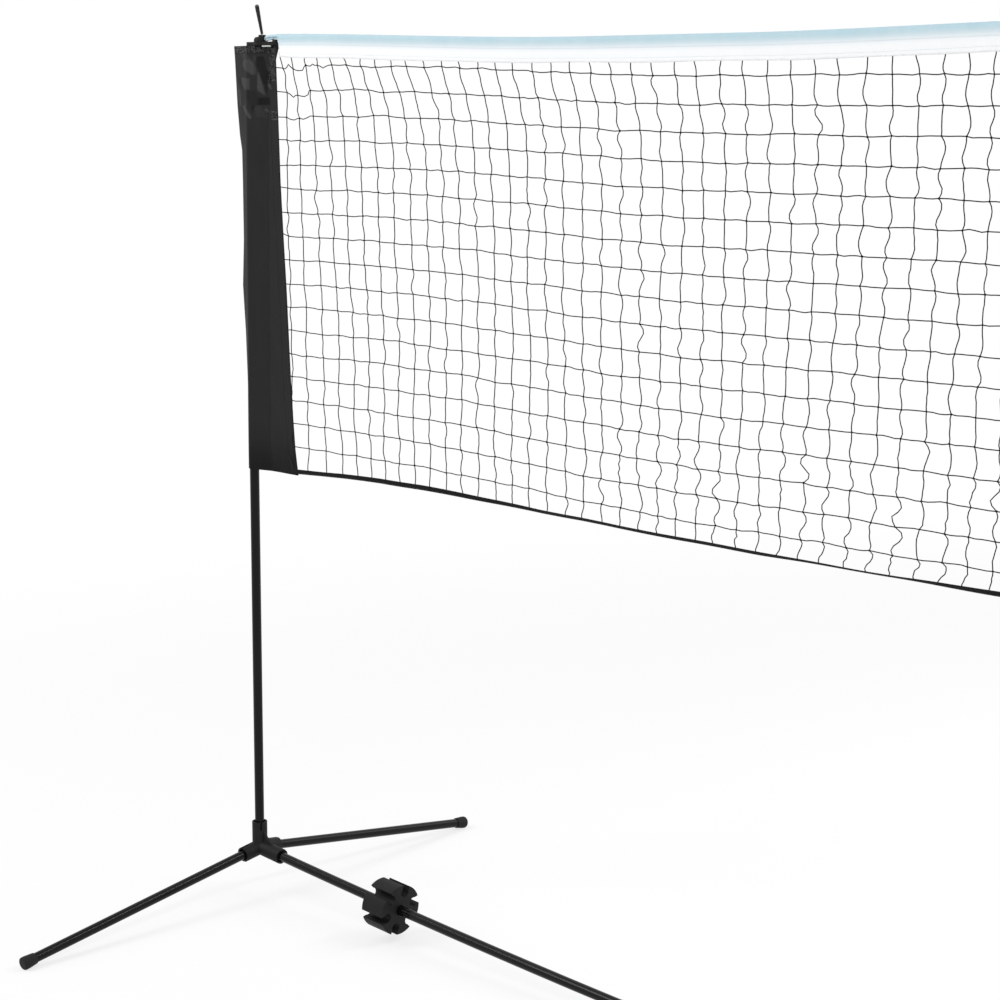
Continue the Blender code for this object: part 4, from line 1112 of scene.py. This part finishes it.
def makeNetting():
    pick = np.random.default_rng(netSizes["seed"] + 1)
    knots = netKnots()
    columns = netColumns(pick, knots)
    rows = netRows(pick, knots)
    places = [[knot] for knot in knots.reshape(-1, 3)]
    twine = cordTree("twine", looks["netTwine"], netSizes["twine"], netSizes["twineSides"])
    lump = knotTree("netKnot", looks["netTwine"], netSizes["knot"], netSizes["knotSeed"])
    for part, lines, tree in (("Columns", columns, twine), ("Rows", rows, twine),
                              ("Knots", places, lump)):
        wearing(grown("netting" + part, wire(lines), tree), "net_set", "net_black", "netting")


makeNetting()
print("netting made")


# Bottom tape: a folded strip that twists where the net pulls it

tapeCloth = dict(
    width=0.0085, thickness=0.0017, corner=0.0006, step=0.006, start=0.1215, flatWidth=0.0118,
    seenFrom=math.radians(14), stitchPitch=0.0036, stitchLength=0.0026, stitchWidth=0.00045,
    grooveDepth=0.72, grooveHalf=0.2, stitchPlace=0.55, proud=0.0001, wave=0.0003,
)


def makeTape():
    start, thickness, corner = (tapeCloth[key] for key in ("start", "thickness", "corner"))
    wide, thick = tapeCloth["width"] / 2, thickness / 2
    outline = []
    for sx, sy, turn in ((1, 1, 0), (-1, 1, 90), (-1, -1, 180), (1, -1, 270)):
        for i in range(4):
            angle = math.radians(turn + 30 * i)
            outline.append((sx * (thick - corner) + corner * math.cos(angle),
                            sy * (wide - corner) + corner * math.sin(angle)))
    # The folded edges stand a little proud of the strip's middle
    slim, low = thick * tapeCloth["grooveDepth"], wide * tapeCloth["grooveHalf"]
    outline[8:8] = [(-slim, low), (-slim, -low)]
    outline += [(slim, -low), (slim, low)]
    # The last two places are those of the stitches
    sewn = -wide * tapeCloth["stitchPlace"]
    outline += [(sign * (thick + tapeCloth["proud"]), sewn) for sign in (-1, 1)]
    rings = []
    for x in alongNet(np.arange(start, halfSpan, tapeCloth["step"])):
        reach = halfSpan - abs(x)
        seen = readOff(tapeRows, reach, "seen") - thickness * 0.6
        turn = math.acos(min(1, max(0, seen / (2 * wide - 0.0010)))) - tapeCloth["seenFrom"]
        turn *= math.copysign(smoothStep(abs(x), 0, 0.12), -x)
        z = readOff(tapeRows, reach, "middle") + tapeCloth["wave"] * math.sin(x * 33)
        cos, sin = math.cos(turn), math.sin(turn)
        rings.append([(x, y * cos - h * sin, z + y * sin + h * cos) for y, h in outline])
    tape = skin("bottomTapeCloth", [ring[:-2] for ring in rings], looks["tapeCloth"])
    tree = stitchTree("tapeStitch", looks["sleeveThread"], tapeCloth)
    stitches = grown("bottomTapeStitches", wire(zip(*(ring[-2:] for ring in rings))), tree)
    wearing(tape, "net_set", "tape_black", "bottom_tape")
    wearing(stitches, "net_set", "tape_black")


makeTape()
print("bottom tape made")


# Side sleeves: a cloth pocket round the upper post, flat towards the net

sleeveCloth = dict(
    length=0.7461, thickness=0.0008, half=0.0006, pocket=0.0100, seam=0.046, lowRows=120,
    highRows=92, highLength=0.15, flatSteps=24, slopeSteps=18, arcSteps=16, leftSteps=10,
    foldDepth=0.0022, foldPitch=0.105, facetDepth=0.0008, facetEdge=0.0017, hemFade=(0.012, 0.035),
    lowFade=(0.12, 0.34), lowShare=0.65, tracedAbove=1.415, tracedBelow=0.84,
    shadeFade=(0.79, 0.90), shade=-0.85,
)
# Diamond stitching of the top hem and of two patches beside the net, between these heights.
# The last two say how far in from the seam and the edge the running stitches lie.
hemStitch = dict(
    radius=0.00024, sides=5, step=0.0021, height=0.0135, inset=0.0012, rows=3,
    patches=((1.4860, 1.5320), (1.4200, 1.4360)), patchWidth=0.0165, patchInset=0.0008,
    patchRows=4, seamInset=0.001, edgeInset=0.0180,
)
# Facets between the creases near the top: how far each stands out, and then the x and z of
# its corners in turn, clockwise. The first number also sets the facet's painted highlight when
# above 0 and its painted shade when below 0
facetRows = (
    (0.9, 70, 15237, 246, 15236, 318, 15175, 300, 14969, 176, 15022, 40, 15125),
    (0.7, 289, 15192, 318, 15175, 370, 15105, 382, 14977, 282, 14969),
    (0.5, -64, 15358, 167, 15339, 246, 15244, 46, 15246),
    (0.5, 324, 15303, 374, 15293, 372, 15191, 331, 15191),
    (0.8, -29, 14910, 28, 14927, 234, 14901, 229, 14720, 65, 14721, -16, 14798),
    (1.1, 409, 15019, 446, 15010, 516, 14831, 522, 14762, 391, 14784, 407, 14882),
    (1.1, 391, 14784, 522, 14762, 564, 14643, 550, 14617, 458, 14668, 403, 14694),
    (1.3, 624, 14873, 656, 14873, 726, 14736, 699, 14719, 647, 14762),
    (0.7, -218, 14954, -123, 14954, -79, 14677, 51, 14453, -114, 14435, -178, 14678),
    (1.2, 26, 14444, 100, 14444, 252, 14246, 235, 14211, 195, 14228, 47, 14392),
    (0.8, 530, 14394, 584, 14394, 636, 14335, 582, 14326, 529, 14351),
    (0.9, 684, 14369, 716, 14352, 714, 14296, 688, 14296),
    (0.3, 331, 14428, 453, 14428, 606, 14232, 353, 14247),
    (-1.0, 385, 15276, 529, 15291, 579, 15188, 602, 15056, 426, 15056, 381, 15122),
    (-1.0, 426, 15056, 602, 15056, 714, 14966, 702, 14813, 529, 14813),
    (-0.8, 542, 14813, 610, 14813, 633, 14728, 604, 14642, 578, 14677),
    (-0.4, 88, 14695, 362, 14686, 401, 14574, 398, 14454, 262, 14384, 192, 14487),
    (-1.0, 401, 14574, 669, 14583, 674, 14455, 398, 14445),
    (-0.8, -123, 14937, -67, 14919, 66, 14738, 20, 14721, -74, 14781),
    (-0.7, 252, 14401, 309, 14436, 301, 14333, 272, 14315),
    (0.9, 1010, 8330, 1035, 8335, 1130, 8110, 1125, 8060, 1080, 8140),
    (-1.0, 1040, 8320, 1130, 8280, 1170, 8130, 1135, 8110),
    (0.8, 1185, 8260, 1205, 8250, 1225, 8090, 1205, 8090),
)
sleeveFacets = [(reliefAndPaintedLight, list(zip(metres(row[::2]), metres(row[1::2])))) for reliefAndPaintedLight, *row in facetRows]


def facetTone(x, height):
    # From -1 in a hollow to 1 on a facet that stands out, and low towards the sleeve's foot. The
    # number both shifts the cloth and paints it: pale as a painted highlight, dark as painted
    # shade
    total = sleeveCloth["shade"] * (1 - smoothStep(height, *sleeveCloth["shadeFade"]))
    if sleeveCloth["tracedBelow"] < height < sleeveCloth["tracedAbove"]:
        return total
    soft = sleeveCloth["facetEdge"]
    for reliefAndPaintedLight, corners in sleeveFacets:
        inside = 1.0
        for (x0, z0), (x1, z1) in zip(corners, corners[1:] + corners[:1]):
            size = math.hypot(x1 - x0, z1 - z0)
            inside = min(inside, ((x - x0) * (z1 - z0) - (height - z0) * (x1 - x0)) / size)
            if inside < -soft:
                break
        total += reliefAndPaintedLight * smoothStep(inside, -soft, soft)
    return total


def sleeveShift(x, height, axis, right, left):
    # Slanting folds, which fade at the hem, at the net's edge and on the pocket
    below = post["top"] - height
    pitch, seam = sleeveCloth["foldPitch"], sleeveCloth["seam"]
    lower = 1 - sleeveCloth["lowShare"] * smoothStep(below, *sleeveCloth["lowFade"])
    off = smoothStep(abs(x - axis), sleeveCloth["pocket"] * 0.9, seam)
    net = smoothStep(right - x, 0, seam)
    rim = smoothStep(x - left, 0, seam)
    wave = math.sin(fullTurn * (height / pitch + x / pitch))
    slow = 0.35 * math.sin(fullTurn * (height / 0.31 - x / 0.2) + 1.0)
    fold = sleeveCloth["foldDepth"] * lower * off * net * rim * (wave + slow)
    raised = sleeveCloth["facetDepth"] * facetTone(x, height)
    raised *= (0.3 + 0.7 * rim) * (0.3 + 0.7 * net)
    return smoothStep(below, *sleeveCloth["hemFade"]) * (fold - raised)


def stepped(start, end, steps, first, last):
    # Even points of a straight line, from the first step to the last
    return [tuple(a + (b - a) * (i / steps) for a, b in zip(start, end))
            for i in range(first, last + 1)]


def sleeveSection(height):
    # The cloth's middle line round the section, from the net's edge along the back and home
    axis = postX(height)
    left, right = (readOff(sleeveEdges, height, edge) for edge in ("left", "right"))
    flat, slope = sleeveCloth["flatSteps"], sleeveCloth["slopeSteps"]
    arc, rim = sleeveCloth["arcSteps"], sleeveCloth["leftSteps"]
    thin, pocket = sleeveCloth["half"], sleeveCloth["pocket"]
    seam = axis + sleeveCloth["seam"]
    toSeam, toLeft = math.hypot(seam - axis, thin), math.hypot(left - axis, thin)
    first = math.atan2(thin, seam - axis) + math.acos(pocket / toSeam)
    last = math.atan2(thin, left - axis) - math.acos(min(1, pocket / toLeft))
    angles = [first + (last - first) * i / arc for i in range(arc + 1)]
    bulge = [(axis + pocket * math.cos(angle), pocket * math.sin(angle)) for angle in angles]
    upper = stepped((right, thin), (seam, thin), flat, 0, flat)
    upper += stepped((seam, thin), bulge[0], slope, 1, slope - 1) + bulge
    upper += stepped(bulge[-1], (left, thin), rim, 1, rim)
    path = upper + [(x, -y) for x, y in reversed(upper)]
    ring = [Vector((x, y + sleeveShift(x, height, axis, right, left), height)) for x, y in path]
    return ring, [facetTone(x, height) for x, _ in path]


def faceY(ring, x, sign):
    # The y of a section's front (-1) or back (1) face at this x, in its end frame
    half = len(ring) // 2
    face = ring[half:] if sign < 0 else ring[:half][::-1]
    return float(np.interp(x, [point.x for point in face], [point.y for point in face]))


def zigzags(length, width, rows):
    # Zigzag rows side by side, which cross into diamonds, as places along and across
    step = hemStitch["step"]
    return [[(step * i, width * (row + (i + phase) % 2) / rows)
             for i in range(int(length / step) + 1)]
            for row in range(rows) for phase in (0, 1)]


def hemLines():
    # Diamond stitching of the top hem and of the net's corner, on both faces
    top = post["sleeveBottom"] + sleeveCloth["length"]
    low, high = top - hemStitch["height"] + hemStitch["inset"], top - hemStitch["inset"]
    left = readOff(sleeveEdges, high, "left") + 0.002
    right = readOff(sleeveEdges, low, "right") - 0.001
    flat = [[(left + a, low + b) for a, b in line]
            for line in zigzags(right - left, high - low, hemStitch["rows"])]
    for low, high in hemStitch["patches"]:
        for line in zigzags(high - low, hemStitch["patchWidth"], hemStitch["patchRows"]):
            flat.append([(readOff(sleeveEdges, low + a, "right") - hemStitch["patchInset"] - b,
                          low + a) for a, b in line])
    known = {z: sleeveSection(z)[0] for z in {z for places in flat for _, z in places}}
    proud = sleeveCloth["thickness"] * 0.7
    return [[Vector((x, faceY(known[z], x, sign) + sign * proud, z)) for x, z in places]
            for places in flat for sign in (-1, 1)]


def seamLines(sections):
    # Running stitches along the pocket's seam and beside the net's edge
    lines = []
    for sign in (-1, 1):
        proud = (sign + 1) * sleeveCloth["half"] + sign * sleeveCloth["thickness"] * 0.6
        seam, edge = [], []
        for ring, _ in sections[2:-4:2]:
            z = ring[0].z
            for line, x in ((seam, postX(z) + sleeveCloth["seam"] - hemStitch["seamInset"]),
                            (edge, readOff(sleeveEdges, z, "right") - hemStitch["edgeInset"])):
                line.append(Vector((x, faceY(ring, x, -1) + proud, z)))
        lines += [seam, edge]
    return lines


def moved(lines, end):
    return [[end @ point for point in line] for line in lines]


def makeSleeves():
    length = sleeveCloth["length"]
    low = length - sleeveCloth["highLength"]
    heights = [*np.linspace(0, low, sleeveCloth["lowRows"], endpoint=False),
               *np.linspace(low, length, sleeveCloth["highRows"])]
    sections = [sleeveSection(post["sleeveBottom"] + height) for height in heights]
    hems, runs = hemLines(), seamLines(sections)
    thread = cordTree("sleeveThread", looks["sleeveThread"], hemStitch["radius"],
                      hemStitch["sides"])
    running = stitchTree("seamStitch", looks["netTwine"], tapeCloth)
    for side, end in endFrames.items():
        rings = moved([ring for ring, _ in sections], end)
        sleeve = skin(f"{side}SleeveCloth", rings, looks["sleeveCloth"], capEnds=False,
                      extra={"reliefAndPaintedLight": [tones for _, tones in sections]})
        thickened(sleeve, sleeveCloth["thickness"])
        sewn = grown(f"{side}SleeveHemThread", wire(moved(hems, end)), thread)
        seams = grown(f"{side}SleeveSeamStitches", wire(moved(runs, end)), running)
        wearing(sleeve, "net_set", "sleeve_black", f"{side}_side_sleeve")
        for piece in (sewn, seams):
            wearing(piece, "net_set", "sleeve_black")


makeSleeves()
print("side sleeves made")


# Stage: a pale floor that runs into a white background, soft light, and the photo's camera

stage = dict(
    floorReach=40, floorColour=(0.90, 0.90, 0.90, 1), white=(1, 1, 1, 1), fadeStart=3.4,
    fadeEnd=6.0, nearShare=0.70, farShare=0.30, skyLight=0.62,
)
# Place, target, size and power. Lamps without a target hang straight down.
lamps = {
    "keyPanel": ((-5.2, -3.6, 4.6), (-1.9, 0, 0.7), (1.6, 2.6), 105),
    "sidePanel": ((1.2, -4.6, 2.8), (-1.6, 0, 0.8), (0.7, 2.6), 55),
    "backPanel": ((-0.5, 4.6, 3.4), (-1.4, 0, 0.8), (2.6, 1.6), 24),
    "legStrip": ((-0.8, 1.9, 2.8), None, (0.22, 2.4), 42),
    "barStrip": ((-4.4, -1.2, 3.0), None, (2.4, 0.18), 13),
}
photoCamera = dict(
    sensor=36, lens=81.797, clipEnd=100, place=(0.2256, -2.6073, 1.4611),
    tilt=math.radians(79.914), turn=math.radians(43.874),
)


def makeFloor():
    floor = linked("floor", bpy.data.meshes.new("floor"))
    size = stage["floorReach"]
    corners = [(-size, -size, 0), (size, -size, 0), (size, size, 0), (-size, size, 0)]
    floor.data.from_pydata(corners, [], [(0, 1, 2, 3)])
    material = bpy.data.materials.new("floorWhite")
    graph = cleared(material)
    place = graph.add("TexCoord", {}, 3)
    away = graph.add("VectorMath", {0: place}, 1, operation="LENGTH")
    matt = graph.add("BsdfDiffuse", {"Color": stage["floorColour"]})
    white = graph.add("Emission", {"Color": stage["white"], "Strength": 1.0})
    # The floor runs into the white background, away from the net
    far = graph.clipped(away, stage["fadeStart"], stage["fadeEnd"])
    share = graph.backgroundRays() * (far * stage["farShare"] + stage["nearShare"])
    seen = graph.add("MixShader", {0: share, 1: matt, 2: white})
    graph.add("OutputMaterial", {"Surface": seen})
    floor.data.materials.append(material)


def makeWorld():
    world = bpy.data.worlds.new("studio")
    bpy.context.scene.world = world
    graph = cleared(world)
    soft, seen = (
        graph.add("Background", {"Color": stage["white"], "Strength": strength})
        for strength in (stage["skyLight"], 1.0)
    )
    mixed = graph.add("MixShader", {0: graph.backgroundRays(), 1: soft, 2: seen})
    graph.add("OutputWorld", {"Surface": mixed})
    for name, (place, target, size, power) in lamps.items():
        data = bpy.data.lights.new(name, "AREA")
        data.shape = "RECTANGLE"
        data.size, data.size_y = size
        data.energy = power
        lamp = linked(name, data)
        lamp.location = place
        if target:
            aim = Vector(target) - Vector(place)
            lamp.rotation_euler = aim.to_track_quat("-Z", "Y").to_euler()


def makeCamera():
    data = bpy.data.cameras.new("photoCamera")
    data.sensor_width = photoCamera["sensor"]
    data.lens = photoCamera["lens"]
    data.clip_end = photoCamera["clipEnd"]
    camera = linked("photoCamera", data)
    camera.location = photoCamera["place"]
    camera.rotation_euler = (photoCamera["tilt"], 0, photoCamera["turn"])
    bpy.context.scene.camera = camera


makeFloor()
makeWorld()
makeCamera()
bpy.context.scene.view_settings.view_transform = "Standard"
print("stage made")
